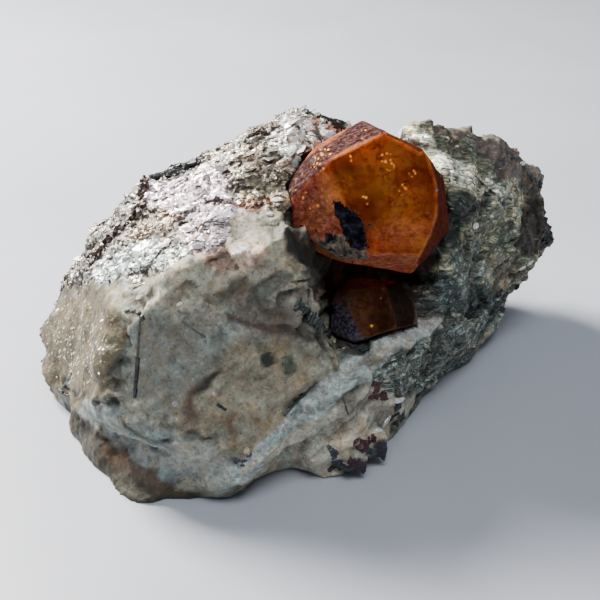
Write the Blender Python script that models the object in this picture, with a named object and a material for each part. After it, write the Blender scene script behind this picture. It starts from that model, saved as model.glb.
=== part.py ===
"""A spessartine garnet on its matrix: a hand-sized mineral specimen.

A broken piece of mica schist carries two garnets. The large one sits in the notch between the rock's two
humps, and a smaller, darker one in the hollow under it. The rock rests on its flat, cleaved underside.

X runs along the specimen's length, Y away from the face with the garnets, Z up. The figures below are in
millimetres. At the end the model, which is in metres, is moved so that the origin is on the surface that the
specimen rests on, under the middle of its box.
"""

import math

import bmesh
import bpy
from mathutils import Matrix, Vector, noise

MM = 0.001

# ---------------------------------------------------------------- driving dimensions
SEAT_GAP = 0.35  # between a garnet and the rock round it
ROCK_VOXEL = 0.5  # the grid on which the rock's blocks are grown together
ROCK_TRIANGLES = 8200
BED_NORMAL = Vector((-0.50, -0.25, 0.83)).normalized()  # across the schist's layers
BED_STRETCH = 4.0  # how much thinner the relief is across the layers than along them
LAYER = 1.7  # how thick the layers are that break off as ledges
LAYER_WAVER = (0.8, 6.0)  # how many layers the bedding wavers by, and over what span
SWELLS = ((0.8, 8.0), (0.5, 3.4))  # the height and the span of the surface's swells
LEDGES = (0.8, 9.0)  # the same for the ledges, along the layers
CRAGS = (0.45, 5.0)
SLIVER = 0.01  # edges shorter than this are closed up
FOOT = (0.3, -2.0)  # where a block's foot begins and ends: it is cut flat between them, at 0
GROUND = 80.0  # the side of the block that cuts it
ON_PLANE = 1e-7  # how near a cut a corner counts as on it, in metres

# ---------------------------------------------------------------- the rock's blocks
# Each block is the hull of its corners, with a foot straight down from each corner of its footprint.
LEFT_BLOCK = {
    "corners": {
        "tip": (-24.5, 2.3, 1.2),
        "tip_top": (-23.1, 6.5, 9.5),
        "slope_left": (-18.4, 3.7, 17.2),
        "slope_middle": (-13.5, 5.0, 21.7),
        "shoulder": (-5.5, 4.0, 25.5),
        "bend_left": (-15.5, -8.0, 16.3),
        "bend_middle": (-8.6, -9.5, 20.0),
        "bend_right": (-1.0, -7.0, 22.5),
        "belt_left": (-17.0, -11.0, 7.0),
        "belt_middle": (-12.0, -14.2, 6.0),
        "belt_right": (-5.0, -14.0, 5.0),
        "front_right": (2.3, -10.5, 11.0),
        "hollow_corner": (2.9, -9.0, 13.2),
        "back_left": (-20.0, 13.0, 3.0),
        "back_top": (-9.0, 14.0, 15.0),
    },
    "footprint": {"tip": (-23.0, 1.0), "back": (-8.0, 18.0), "right": (4.0, -6.0)},
}
LEFT_HUMP = {
    "corners": {
        "left": (-7.5, 3.0, 25.0),
        "peak": (-0.5, 5.0, 27.7),
        "crest": (2.3, 6.0, 26.8),
        "crest_right": (4.5, 9.0, 24.5),
        "bend": (-5.0, -6.0, 21.5),
        "pit_edge": (0.0, -6.5, 20.0),
        "pit_low": (2.0, -4.0, 6.0),
        "saddle_low": (6.0, 9.0, 6.0),
        "back": (-2.0, 15.0, 17.0),
    },
    "footprint": {"back": (0.0, 20.0)},
}
RIGHT_BLOCK = {
    "corners": {
        "hump_left": (8.6, 8.0, 24.8),
        "hump": (11.7, 7.5, 26.4),
        "brow_left": (13.5, 3.0, 20.5),
        "shoulder": (16.8, 11.0, 23.4),
        "corner": (20.6, 15.0, 20.2),
        "end_top": (24.6, 17.5, 16.4),
        "brow_right": (23.0, 13.5, 11.5),
        "tip": (26.6, 17.0, 9.5),
        "tip_under": (24.5, 17.0, 6.5),
        "under": (21.1, 14.2, 3.5),
        "pit_side": (11.5, 2.5, 12.0),
        "pit_low": (12.0, 0.0, 4.0),
        "back_top": (12.0, 19.0, 17.0),
        "end_back": (22.0, 22.5, 8.0),
    },
    "footprint": {"front": (16.4, 8.2), "back": (8.0, 21.5), "end": (17.0, 19.0)},
}
LOWER_BLOCK = {  # the shelf of pale vein under the garnets, and the body of the rock below it
    "corners": {
        "left": (-10.0, -13.0, 4.5),
        "vein_left": (-4.0, -13.8, 6.0),
        "vein_middle": (5.0, -10.0, 9.7),
        "vein_right": (13.5, -0.5, 10.5),
        "back_top": (10.0, 12.0, 12.0),
    },
    "footprint": {
        "front_left": (-8.5, -13.0),
        "front": (3.8, -10.2),
        "front_right": (7.2, -7.0),
        "right": (14.2, 5.4),
        "back_right": (12.0, 14.0),
        "back_left": (-10.0, 14.0),
    },
}
FOOT_BLOCK = {  # the brown wedge under the left end
    "corners": {"top_left": (-20.8, -3.5, 6.5), "left": (-21.8, -3.2, 3.0), "top_right": (-9.0, -13.2, 5.5)},
    "footprint": {
        "left": (-21.3, -4.2),
        "front_left": (-16.3, -12.4),
        "front": (-13.0, -14.3),
        "front_right": (-4.5, -11.5),
        "back": (-14.0, 10.0),
    },
}
CORE = {  # the body behind the garnets, which joins the two humps
    "corners": {
        "left": (-12.0, 9.0, 19.0),
        "left_back": (-8.0, 16.5, 10.0),
        "saddle_left": (0.0, 10.5, 22.5),
        "saddle_right": (11.0, 11.5, 21.5),
        "back": (3.0, 18.5, 13.0),
        "right_back": (13.0, 19.0, 14.5),
    },
    "footprint": {
        "front_left": (-14.0, 2.0),
        "left": (-11.0, 16.0),
        "back": (3.0, 21.0),
        "right": (14.0, 18.5),
        "front_right": (12.0, 3.0),
    },
}
HOLLOW = {  # what has broken out under the large garnet, where the small one shows
    "corners": {
        "left_top": (-0.4, -10.0, 18.0),
        "left_low": (2.9, -14.0, 15.2),
        "right_top": (14.5, -4.0, 20.0),
        "right_low": (12.8, -5.0, 12.8),
        "back_left": (3.0, 0.5, 16.0),
        "back_right": (11.0, 3.5, 15.0),
        "floor_left": (3.6, -5.5, 10.6),
        "floor_right": (11.2, -1.0, 10.4),
        "back_low": (8.0, 1.5, 10.0),
    },
    "footprint": {},
}
NOTCH = {  # the bay in the front edge of the foot
    "corners": {
        "left": (-9.0, -13.2, -3.0),
        "middle_left": (-4.4, -10.4, -3.0),
        "middle": (-1.0, -7.6, -3.0),
        "right": (4.6, -11.4, -3.0),
        "over_left": (-6.5, -16.0, 2.6),
        "over_middle": (-1.0, -11.2, 4.2),
        "over_right": (3.0, -15.0, 3.5),
    },
    "footprint": {},
}
UNDERCUT = {  # the groove between the left end's belt and the brown wedge under it
    "corners": {
        "tip": (-27.0, -2.0, 3.2),
        "tip_back": (-22.5, 4.0, 2.6),
        "mouth_top": (-20.0, -9.0, 5.4),
        "mouth_low": (-21.5, -9.0, 3.2),
        "inner": (-17.6, -5.0, 4.6),
        "tip_top": (-26.5, 0.0, 3.8),
    },
    "footprint": {},
}

# ---------------------------------------------------------------- crystals that are one with the rock
# Dark prisms, from one end of the axis to the other, and how far their six sides lie from it.
PRISMS = {
    "ridge": ((0.4, 4.4, 27.6), (4.4, 7.6, 25.2), 0.5),
    "edge": ((-14.6, 1.9, 19.6), (-13.4, 3.2, 21.6), 0.6),
    "edge_top": ((-12.3, 3.2, 21.5), (-8.3, 4.2, 23.8), 0.5),
    "book": ((22.0, 16.4, 15.8), (23.1, 15.4, 17.8), 1.0),
    "end": ((25.0, 16.9, 10.3), (26.0, 15.7, 9.5), 0.6),
    "cluster_upper": ((-4.6, -8.6, 18.4), (-0.6, -9.8, 15.8), 0.6),
    "cluster_middle": ((-3.4, -9.2, 17.2), (0.0, -10.2, 15.4), 0.7),
    "cluster_lower": ((-1.4, -9.6, 15.4), (1.6, -10.2, 12.6), 0.6),
    "cluster_cross": ((-2.2, -10.0, 15.0), (0.8, -9.4, 16.6), 0.5),
}
GRAINS = {  # small garnets in the lower edge
    "upper": ((6.8, -7.2, 6.4), 0.7),
    "middle": ((6.2, -7.9, 2.0), 0.7),
    "lower": ((4.0, -9.2, 2.1), 0.9),
}

# ---------------------------------------------------------------- the garnets
# Each face leans away from the front one by its tilt, towards its bearing (in degrees, anticlockwise from the
# crystal's right as seen from the front), and lies at its reach from the centre.
MAIN_GARNET = {
    "centre": (5.6, 0.6, 21.4),
    "facing": (0.06, -0.89, 0.45),
    "faces": {
        "front": (0, 0, 5.6),
        "left": (203, 28, 5.95),
        "upper_left": (116, 60, 6.45),
        "upper_far_left": (146, 66, 6.65),
        "lower_right": (338, 55, 7.6),
        "bottom": (266, 70, 6.3),
        "bottom_left": (236, 72, 6.45),
        "right": (8, 72, 6.8),
        "top_right": (63, 82, 5.95),
        "top_corner": (35, 80, 6.45),
        "side_left": (183, 86, 6.8),
        "side_upper_left": (140, 90, 6.2),
        "side_top": (118, 92, 5.9),
        "side_right": (0, 95, 6.85),
        "side_lower_right": (318, 84, 7.2),
        "side_lower_left": (245, 92, 5.8),
        "side_bottom": (258, 92, 5.6),
    },
    "rear_reach": 6.4,
}
LOWER_GARNET = {
    "centre": (6.6, -1.4, 11.5),
    "facing": (-0.08, -0.85, 0.5),
    "faces": {
        "front": (0, 0, 3.2),
        "lower_left": (197, 42, 3.65),
        "upper_left": (152, 50, 4.1),
        "upper": (95, 55, 3.4),
        "right": (22, 58, 3.75),
        "lower_right": (325, 62, 3.7),
        "side_left": (178, 84, 3.9),
        "side_lower_left": (245, 86, 3.6),
        "side_bottom": (292, 84, 2.5),
        "side_right": (8, 88, 3.8),
        "side_upper_right": (38, 88, 3.1),
        "side_top": (86, 90, 2.7),
        "side_upper_left": (140, 88, 3.6),
    },
    "rear_reach": 3.7,
}
REAR_BEARINGS = range(30, 390, 60)  # the faces inside the rock, evenly round the back
REAR_TILT = 125
GRAIN_FACING = (0.5, -0.8, 0.3)

# ---------------------------------------------------------------- materials: colour and roughness
SCHIST = ("schist", (0.42, 0.42, 0.37), 0.8)
SPESSARTINE = ("spessartine", (0.62, 0.2, 0.04), 0.25)
DARK_GARNET = ("dark_garnet", (0.2, 0.06, 0.03), 0.3)


def clear_scene():
    for found in list(bpy.data.objects):
        bpy.data.objects.remove(found)


def material(name, colour, roughness):
    made = bpy.data.materials.new(name)
    made.use_nodes = True
    shader = made.node_tree.nodes["Principled BSDF"]
    shader.inputs["Base Color"].default_value = (*colour, 1.0)
    shader.inputs["Roughness"].default_value = roughness
    return made


def add_object(name, shape):
    """A new object that holds the bmesh shape."""
    mesh = bpy.data.meshes.new(name)
    shape.to_mesh(mesh)
    shape.free()
    made = bpy.data.objects.new(name, mesh)
    bpy.context.collection.objects.link(made)
    return made


def block(name, corners, footprint):
    """The convex block that spans the corners and the feet under its footprint."""
    shape = bmesh.new()
    feet = [(x, y, z) for x, y in footprint.values() for z in FOOT]
    for corner in [*corners.values(), *feet]:
        shape.verts.new(Vector(corner) * MM)
    spans = bmesh.ops.convex_hull(shape, input=shape.verts)
    inside = {v for v in spans["geom_interior"] + spans["geom_unused"] if isinstance(v, bmesh.types.BMVert)}
    bmesh.ops.delete(shape, geom=list(inside), context="VERTS")
    bmesh.ops.recalc_face_normals(shape, faces=shape.faces)
    return add_object(name, shape)


def apply_modifiers(target):
    evaluated = target.evaluated_get(bpy.context.evaluated_depsgraph_get())
    mesh = bpy.data.meshes.new_from_object(evaluated)
    target.modifiers.clear()
    target.data = mesh


def drop_slivers(target):
    """Closes up the edges that the cuts have left too short to matter."""
    shape = bmesh.new()
    shape.from_mesh(target.data)
    bmesh.ops.dissolve_degenerate(shape, dist=SLIVER * MM, edges=shape.edges)
    bmesh.ops.triangulate(shape, faces=shape.faces)
    shape.to_mesh(target.data)
    shape.free()


def boolean(target, tool, operation):
    """Joins target with tool or cuts it, and removes the tool."""
    step = target.modifiers.new(operation.lower(), "BOOLEAN")
    step.operation = operation
    step.object = tool
    apply_modifiers(target)
    bpy.data.objects.remove(tool)


def ledge(place):
    """How far the broken edge of the layer at a place stands out: each layer by its own amount."""
    waver, span = LAYER_WAVER
    depth = place.dot(BED_NORMAL) / LAYER + waver * noise.noise(place / span)
    layer = math.floor(depth)
    height, span = LEDGES
    below, above = (noise.noise(Vector((7.3 * k, 0.0, 0.0)) + place / span) for k in (layer, layer + 1))
    share = min(1.0, max(0.0, 4.0 * (depth - layer) - 1.5))
    return height * (below * (1.0 - share) + above * share)


def relief(place):
    """How far the broken surface stands out at a place, in millimetres."""
    swells = sum(height * noise.noise(place / span) for height, span in SWELLS)
    height, span = CRAGS
    layered = place + BED_NORMAL * (BED_STRETCH * place.dot(BED_NORMAL))
    crags = height * (0.5 - noise.turbulence(layered / span, 3, True))
    return swells + ledge(place) + crags


def rock():
    """The matrix: its blocks grown together, weathered, and cut flat to stand."""
    made = block("matrix", **LEFT_BLOCK)
    for shape in (LEFT_HUMP, RIGHT_BLOCK, LOWER_BLOCK, FOOT_BLOCK, CORE):
        boolean(made, block("block", **shape), "UNION")
    for shape in (HOLLOW, NOTCH, UNDERCUT):
        boolean(made, block("gap", **shape), "DIFFERENCE")
    grid = made.modifiers.new("grown_together", "REMESH")
    grid.mode = "VOXEL"
    grid.voxel_size = ROCK_VOXEL * MM
    apply_modifiers(made)
    moves = [v.normal * relief(v.co / MM) * MM for v in made.data.vertices]
    for vertex, move in zip(made.data.vertices, moves):
        vertex.co += move
    thinned = made.modifiers.new("thinned", "DECIMATE")
    thinned.ratio = ROCK_TRIANGLES / (2 * len(made.data.polygons))
    apply_modifiers(made)
    for start, end, reach in PRISMS.values():
        boolean(made, prism(start, end, reach), "UNION")
    for centre, reach in GRAINS.values():
        boolean(made, garnet("grain", centre, GRAIN_FACING, {}, reach), "UNION")
    boolean(made, ground(), "DIFFERENCE")
    return made


def prism(start, end, reach):
    """A six-sided prism with its ends cut square."""
    axis = (Vector(end) - Vector(start)) * MM
    across = axis.orthogonal().normalized()
    shape = bmesh.new()
    bmesh.ops.create_cube(shape, size=2 * axis.length)
    for step in range(6):
        split(shape, Matrix.Rotation(math.radians(60 * step), 3, axis) @ across, reach * MM)
    for way in (-1, 1):
        split(shape, way * axis.normalized(), axis.length / 2)
    bmesh.ops.translate(shape, verts=shape.verts, vec=(Vector(start) + Vector(end)) / 2 * MM)
    return add_object("prism", shape)


def ground():
    """A slab whose top is the surface that the specimen rests on."""
    shape = bmesh.new()
    bmesh.ops.create_cube(shape, size=GROUND * MM)
    bmesh.ops.translate(shape, verts=shape.verts, vec=Vector((0, 0, -GROUND / 2 * MM)))
    return add_object("ground", shape)


def garnet(name, centre, facing, faces, rear_reach, grown=0.0):
    """The crystal bounded by its faces, each moved outwards by grown."""
    front = Vector(facing).normalized()
    up = (Vector((0, 0, 1)) - front * front.z).normalized()
    right = up.cross(front)
    rear = {bearing: (bearing, REAR_TILT, rear_reach) for bearing in REAR_BEARINGS}
    rear["back"] = (0, 180, rear_reach)
    shape = bmesh.new()
    bmesh.ops.create_cube(shape, size=4 * rear_reach * MM)
    for bearing, tilt, reach in [*faces.values(), *rear.values()]:
        b, t = math.radians(bearing), math.radians(tilt)
        normal = front * math.cos(t) + (right * math.cos(b) + up * math.sin(b)) * math.sin(t)
        split(shape, normal, (reach + grown) * MM)
    bmesh.ops.translate(shape, verts=shape.verts, vec=Vector(centre) * MM)
    return add_object(name, shape)


def split(shape, normal, distance):
    """Takes away what lies further than distance along normal, and closes the cut."""
    everything = shape.verts[:] + shape.edges[:] + shape.faces[:]
    sliced = bmesh.ops.bisect_plane(
        shape, geom=everything, dist=ON_PLANE, plane_co=normal * distance, plane_no=normal, clear_outer=True
    )
    rim = [e for e in sliced["geom_cut"] if isinstance(e, bmesh.types.BMEdge)]
    if rim:
        bmesh.ops.contextual_create(shape, geom=rim)


def centre_on_origin():
    """Moves everything so that the origin is under the middle of the specimen's box."""
    spots = [vertex.co for found in bpy.data.objects for vertex in found.data.vertices]
    middle = [(min(s[k] for s in spots) + max(s[k] for s in spots)) / 2 for k in (0, 1)]
    for found in bpy.data.objects:
        found.data.transform(Matrix.Translation((-middle[0], -middle[1], 0)))


def main():
    clear_scene()
    matrix = rock()
    garnets = (("garnet_main", MAIN_GARNET, SPESSARTINE), ("garnet_lower", LOWER_GARNET, DARK_GARNET))
    for name, stone, look in garnets:
        boolean(matrix, garnet("socket", **stone, grown=SEAT_GAP), "DIFFERENCE")
        garnet(name, **stone).data.materials.append(material(*look))
    drop_slivers(matrix)
    matrix.data.materials.append(material(*SCHIST))
    centre_on_origin()


main()
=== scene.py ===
"""The looks of a spessartine garnet specimen on its matrix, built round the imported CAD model.

The rock is a finer copy of its CAD solid with its own relief. A still finer skin lies over its mica, and
small flakes, needles, blades and grains are set in its surface. The two garnets are finer copies of their
CAD crystals, with worn edges, crusts and spots, and light passes through them.

Lengths are in millimetres until a mesh is written, and colours are linear. Outlines and places in pixels are
those of the 600 x 600 photograph, seen by the camera below, and what they place lies on the surface there.
They are texts: "x,y x,y" for an outline's corners or a line's points, and "x,y,size x,y,size" for spots.
"""

import math
import random
from typing import NamedTuple

import bmesh
import bpy
import numpy as np
from mathutils import Matrix, Vector, noise
from mathutils.bvhtree import BVHTree


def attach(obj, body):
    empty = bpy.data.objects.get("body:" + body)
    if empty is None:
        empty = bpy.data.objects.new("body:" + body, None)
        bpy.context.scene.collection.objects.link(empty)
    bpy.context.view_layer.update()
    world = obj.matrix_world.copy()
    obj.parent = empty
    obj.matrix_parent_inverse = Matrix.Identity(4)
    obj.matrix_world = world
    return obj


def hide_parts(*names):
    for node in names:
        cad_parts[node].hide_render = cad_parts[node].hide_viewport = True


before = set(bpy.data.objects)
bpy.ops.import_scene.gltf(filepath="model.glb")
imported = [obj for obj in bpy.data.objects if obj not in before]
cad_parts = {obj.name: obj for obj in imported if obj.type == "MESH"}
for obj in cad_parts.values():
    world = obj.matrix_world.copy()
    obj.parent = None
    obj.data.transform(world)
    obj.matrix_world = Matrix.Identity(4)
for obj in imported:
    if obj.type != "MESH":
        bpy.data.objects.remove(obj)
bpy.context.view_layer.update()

MM = 0.001


def unit(direction):
    return np.array(direction) / np.linalg.norm(direction)


# ---------------------------------------------------------------- the camera
FRAME_SIDE = 600  # pixels
FOCAL = 1108.0  # pixels
SENSOR = 36.0
EYE = np.array((-0.78, -90.38, 61.56))
TILT = math.radians(30)  # how far the camera looks down
AHEAD = np.array((0.0, math.cos(TILT), -math.sin(TILT)))
UPWARD = np.array((0.0, math.sin(TILT), math.cos(TILT)))
PIXEL = 0.09  # millimetres to a pixel of the photograph, at the object

# ---------------------------------------------------------------- the rock
BED = unit((-0.50, -0.25, 0.83))  # across the schist's layers
FIBRES = (0.75, 0.35, -0.45)  # the direction in which the fibres mostly run
MICA_GRAIN = (0.88, 0.25, 0.40)  # the direction in which the mica's scales are longest
ROCK_GRID = 0.265
GARNET_GRID = 0.16
FOOT = (0.05, 0.8)  # the heights between which the relief grows from none to all of it
CAVITY_PAINTED_SHADE = 0.55  # how much darker the rock is painted in its hollows: painted shade
CONTACT = 0.06  # the gap left between the rock and a garnet
REACH_OF_CONTACT = 0.9  # how near a garnet the rock begins to be drawn up to it
FULL_CONTACT = 0.45  # how near a garnet it is drawn up all the way
FIBRE_PATCH = 3.4  # how large the patches are in which the fibres run one way
FIBRE_SPREAD = 1.2  # radians between the furthest of their ways
SHEET_SPAN = 1.5  # how wide the waves are that are cut into the mica's sheets
SHEET_COUNT = 7.0  # how many sheets each wave is cut into
OLIVE = (0.21, 0.20, 0.155)
SKIN_FROM = 0.14  # how micaceous the rock has to be to carry the finer skin
SKIN_SHOWN = (0.34, 0.62)  # how micaceous it is where the skin begins to come out, and where it is all out
SKIN_HIDDEN = 0.55  # how deep the skin lies in the rock before it comes out
SKIN_LIFT = 0.03  # how far it stands off the rock where it is out
KINDS = ("mica", "fibre", "sugar", "even")  # what the rock is like from place to place


class Region(NamedTuple):
    """A part of the photograph: its colour, its border's width in pixels, its outline, and how micaceous,
    fibrous, sugary and evenly broken the rock is there."""

    colour: tuple
    edge: float
    outline: str
    mica: float = 0.0
    fibre: float = 0.0
    sugar: float = 0.0
    even: float = 0.0


# Each is painted over those before it.
REGIONS = {
    "right_block": Region(
        (0.26, 0.26, 0.185), 8,
        "385,110 560,110 565,270 500,330 410,330 425,240 440,180 395,135", fibre=0.9),
    "slope": Region(
        (0.37, 0.345, 0.3), 12,
        "30,300 62,296 97,284 134,278 161,268 187,260 213,262 231,256 252,240 272,222 286,204 300,150 "
        "350,130 345,90 280,90 130,160 30,240", mica=1.0),
    "slope_bright": Region(
        (1.0, 0.87, 1.0), 12,
        "150,184 180,176 206,168 222,170 226,186 240,206 236,226 216,250 190,248 180,232 186,216 160,206 "
        "146,210 142,198", mica=1.0),
    "slope_brown": Region(
        (0.22, 0.17, 0.12), 8, "136,222 146,210 166,210 186,220 182,230 156,232 134,240 122,240", mica=1.0),
    "slope_blue": Region(
        (0.84, 1.0, 1.0), 12,
        "88,272 104,256 126,240 160,236 190,244 184,258 150,266 118,276 96,284", mica=1.0),
    "rim_white": Region(
        (0.19, 0.18, 0.165), 5,
        "40,300 60,285 90,250 104,238 118,222 134,204 136,190 120,190 60,240 30,300", mica=1.0),
    "rim_low": Region(
        (0.21, 0.195, 0.17), 8, "50,302 60,272 82,246 98,244 96,268 84,294 66,308", mica=1.0),
    "slope_olive": Region(
        (0.19, 0.165, 0.115), 9,
        "232,172 262,168 284,176 290,205 286,245 262,256 240,244 248,216 238,196", mica=0.75),
    "olive_low": Region(
        (0.25, 0.22, 0.16), 8,
        "230,216 262,211 284,216 288,244 268,262 244,258 230,240", mica=0.1, even=0.5),
    "crease": Region(
        (0.035, 0.025, 0.02), 3,
        "147,172 151,180 147,192 147,206 132,226 118,237 106,250 94,264 88,260 100,244 112,231 125,219 "
        "139,203 139,190 142,178", mica=0.6),
    "black_ridge": Region(
        (0.016, 0.016, 0.02), 3, "146,168 198,150 206,160 186,172 156,182", mica=0.6),
    "rust_seam": Region(
        (0.15, 0.055, 0.028), 4, "212,199 246,203 284,196 288,201 250,210 214,206", mica=0.9),
    "rust_line": Region(
        (0.26, 0.13, 0.075), 4, "158,213 196,217 200,223 160,220", mica=1.0),
    "hump_gaps": Region(
        (0.36, 0.3, 0.23), 7, "240,146 262,150 280,166 296,168 292,186 268,182 250,170 236,160", mica=1.0),
    "hump_top": Region(
        (0.95, 1.0, 0.94), 7, "262,130 298,106 330,112 350,128 330,142 300,158 276,146", mica=1.0),
    "hump_streak": Region(
        (0.1, 0.055, 0.03), 4, "248,132 262,124 276,120 280,126 264,134 252,138", mica=1.0),
    "ridge_black": Region(
        (0.014, 0.014, 0.017), 3, "306,100 348,118 346,128 330,124 308,112", mica=0.5),
    "facet": Region(
        (0.11, 0.09, 0.053), 14,
        "30,310 62,292 97,282 124,288 128,305 118,350 106,384 70,402 30,390", mica=0.1, even=0.9),
    "under_bend": Region(
        (0.34, 0.31, 0.235), 12,
        "110,296 150,276 190,266 240,268 285,240 290,262 262,280 220,300 170,310 130,312", even=0.7),
    "face_middle": Region(
        (0.17, 0.172, 0.146), 16,
        "142,318 200,318 222,345 205,380 185,405 160,412 125,400 128,350", even=1.0),
    "face_brown": Region(
        (0.232, 0.205, 0.148), 16,
        "225,345 245,335 300,340 322,365 318,385 290,410 262,438 235,450 200,440 185,412 "
        "205,380", even=0.9),
    "face_smudge": Region(
        (0.145, 0.125, 0.102), 16,
        "228,290 262,284 296,300 322,336 300,345 270,335 240,322 222,308", even=0.6),
    "face_seam": Region(
        (0.075, 0.052, 0.038), 4,
        "225,315 250,321 285,327 325,338 325,344 285,334 250,328 225,321", even=0.6),
    "stripe_left": Region(
        (0.175, 0.14, 0.098), 8, "186,410 197,408 198,432 189,434", even=1.0),
    "stripe_right": Region(
        (0.14, 0.092, 0.055), 8, "227,412 237,412 238,444 229,446", even=1.0),
    "moss_left": Region(
        (0.026, 0.034, 0.024), 2, "261,353 271,350 277,362 268,370 260,363", even=0.8),
    "moss_right": Region(
        (0.055, 0.065, 0.045), 3, "282,359 292,356 297,371 286,377", even=0.8),
    "moss_top": Region(
        (0.09, 0.1, 0.07), 5, "256,340 266,337 270,348 258,351", even=0.8),
    "pink_zone": Region(
        (0.58, 0.39, 0.295), 9, "195,246 232,240 262,250 258,268 225,276 200,266"),
    "streak_brown": Region(
        (0.105, 0.07, 0.048), 10,
        "176,424 180,404 192,388 208,372 216,376 206,390 196,404 190,424", even=0.8),
    "streak_black": Region(
        (0.022, 0.016, 0.014), 7, "194,392 202,380 214,368 221,372 213,384 202,394", even=0.6),
    "belt": Region(
        (0.205, 0.225, 0.212), 9,
        "30,385 67,402 97,403 123,401 137,414 161,422 179,432 195,440 213,450 236,462 240,478 223,494 "
        "206,495 173,488 144,467 116,449 97,432 68,413 30,402", even=0.9),
    "belt_streak": Region(
        (0.085, 0.1, 0.075), 4,
        "114,414 122,418 132,430 146,438 160,440 172,438 172,444 158,446 140,442 124,430"),
    "foot": Region(
        (0.04, 0.035, 0.022), 5,
        "50,404 68,411 97,431 116,448 144,466 173,487 206,494 200,515 110,520 70,470 50,430", even=0.85),
    "belt_right": Region(
        (0.32, 0.33, 0.29), 10, "176,436 200,446 226,458 240,470 232,492 206,494 180,476", even=0.9),
    # a painted shadow in the gap between the belt and the foot
    "foot_gap_painted_shadow": Region(
        (0.022, 0.019, 0.015), 3,
        "62,402 74,408 86,421 100,435 118,449 112,451 94,438 78,424 66,412", even=0.8),
    "foot_rust": Region(
        (0.085, 0.052, 0.034), 12,
        "100,440 120,450 152,472 180,490 165,492 142,480 118,468 104,455", even=1.0),
    "under_vein": Region(
        (0.44, 0.4, 0.315), 7,
        "240,485 270,448 299,430 328,413 345,394 378,374 390,396 420,395 405,420 380,445 372,462 338,480 "
        "290,478", even=0.75),
    "under_left": Region(
        (0.56, 0.51, 0.405), 10, "245,480 284,446 330,426 346,440 332,468 290,474", even=0.75),
    "crystals_low": Region(
        (0.045, 0.03, 0.042), 3, "346,464 356,458 370,460 376,474 352,480 342,472", even=1.0),
    "crystals_right": Region(
        (0.04, 0.032, 0.05), 3, "372,446 384,440 392,450 386,462 374,458", even=1.0),
    "vein": Region(
        (0.4, 0.425, 0.4), 3,
        "228,470 248,456 258,444 283,421 300,401 328,376 350,358 371,342 403,327 425,319 "
        "442,317 447,326 425,337 401,353 386,365 376,375 345,394 328,412 299,429 272,447 "
        "252,482 236,486", sugar=1.0),
    "dark_low": Region(
        (0.28, 0.3, 0.26), 6,
        "376,377 401,355 425,339 447,327 470,318 500,290 520,300 500,325 480,342 462,366 440,384 415,396 "
        "390,398 378,392", fibre=1.0),
    "dark_mid": Region(
        (0.092, 0.115, 0.108), 8,
        "412,318 418,285 430,268 470,272 500,292 505,305 470,320 440,318", fibre=1.0),
    "dark_top": Region(
        (0.023, 0.03, 0.025), 8,
        "444,190 470,188 490,198 484,214 462,226 452,252 436,262 428,250 440,225", fibre=0.8),
    "ridge": Region(
        (0.155, 0.122, 0.104), 9,
        "405,108 428,126 452,140 484,150 497,170 512,183 536,193 560,190 560,150 500,100 "
        "440,95", mica=0.12, fibre=0.4),
    # pale green band along the right block's top: partly its own colour, partly a painted highlight on the
    # lit rim
    "pale_band": Region(
        (0.96, 0.96, 0.82), 6,
        "388,122 412,126 428,140 455,158 480,172 490,186 470,184 445,170 425,155 405,146 "
        "388,140", mica=0.1, fibre=0.8),
    "right_slope": Region(
        (0.42, 0.41, 0.31), 8, "486,186 508,178 530,196 532,222 512,232 494,212", fibre=0.9),
    "right_middle": Region(
        (0.56, 0.56, 0.46), 8, "446,158 470,166 492,180 500,196 484,200 462,190 448,176", fibre=0.9),
    "tip_dark": Region(
        (0.05, 0.036, 0.027), 6, "528,200 560,196 565,250 535,258 516,250 522,225", fibre=0.6),
    "right_tan": Region(
        (0.3, 0.27, 0.2), 8, "478,262 500,250 528,262 518,276 500,288 480,280", fibre=0.6),
    "garnet_shade": Region(
        (0.012, 0.012, 0.012), 4, "424,262 430,236 442,214 450,206 448,232 438,258 428,272"),
    "pale_face": Region(
        (0.19, 0.21, 0.185), 6, "452,246 476,240 490,262 478,290 462,296 452,270", fibre=0.8),
    # the recess round the lower garnet: dark amphibole, darkened further with painted shade
    "hollow": Region(
        (0.052, 0.044, 0.037), 5,
        "286,240 300,262 322,288 328,318 334,350 352,356 375,344 412,322 418,300 428,270 440,245 446,228 "
        "440,190 400,230 340,245 290,225", fibre=0.3),
    # a painted shadow in the crack between the rock and the large garnet's lower left edge
    "notch_painted_shadow": Region(
        (0.016, 0.014, 0.012), 4,
        "284,222 294,231 304,241 318,250 328,262 318,270 300,264 286,250", even=1.0),
}


# ---------------------------------------------------------------- places and pixels
def rows(text):
    """The numbers of an outline, a line or some spots, one row for each."""
    return [tuple(map(float, row.split(","))) for row in text.split()]


def seen(places):
    """Where each place (a row of millimetres) falls in the photograph, in pixels."""
    offsets = places - EYE
    depth = offsets @ AHEAD
    right = offsets[:, 0] / depth
    up = (offsets @ UPWARD) / depth
    half = FRAME_SIDE / 2
    return np.stack((half + FOCAL * right, half - FOCAL * up), axis=1)


def sight(pixel):
    """The direction in which the camera sees a pixel."""
    half = FRAME_SIDE / 2
    right, up = (pixel[0] - half) / FOCAL, (half - pixel[1]) / FOCAL
    return Vector(AHEAD + up * UPWARD + np.array((right, 0.0, 0.0))).normalized()


def facing(places, normals):
    """The cosine between each normal and the way to the camera."""
    to_eye = EYE - places
    return (normals * to_eye).sum(axis=1) / np.linalg.norm(to_eye, axis=1)


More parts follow.
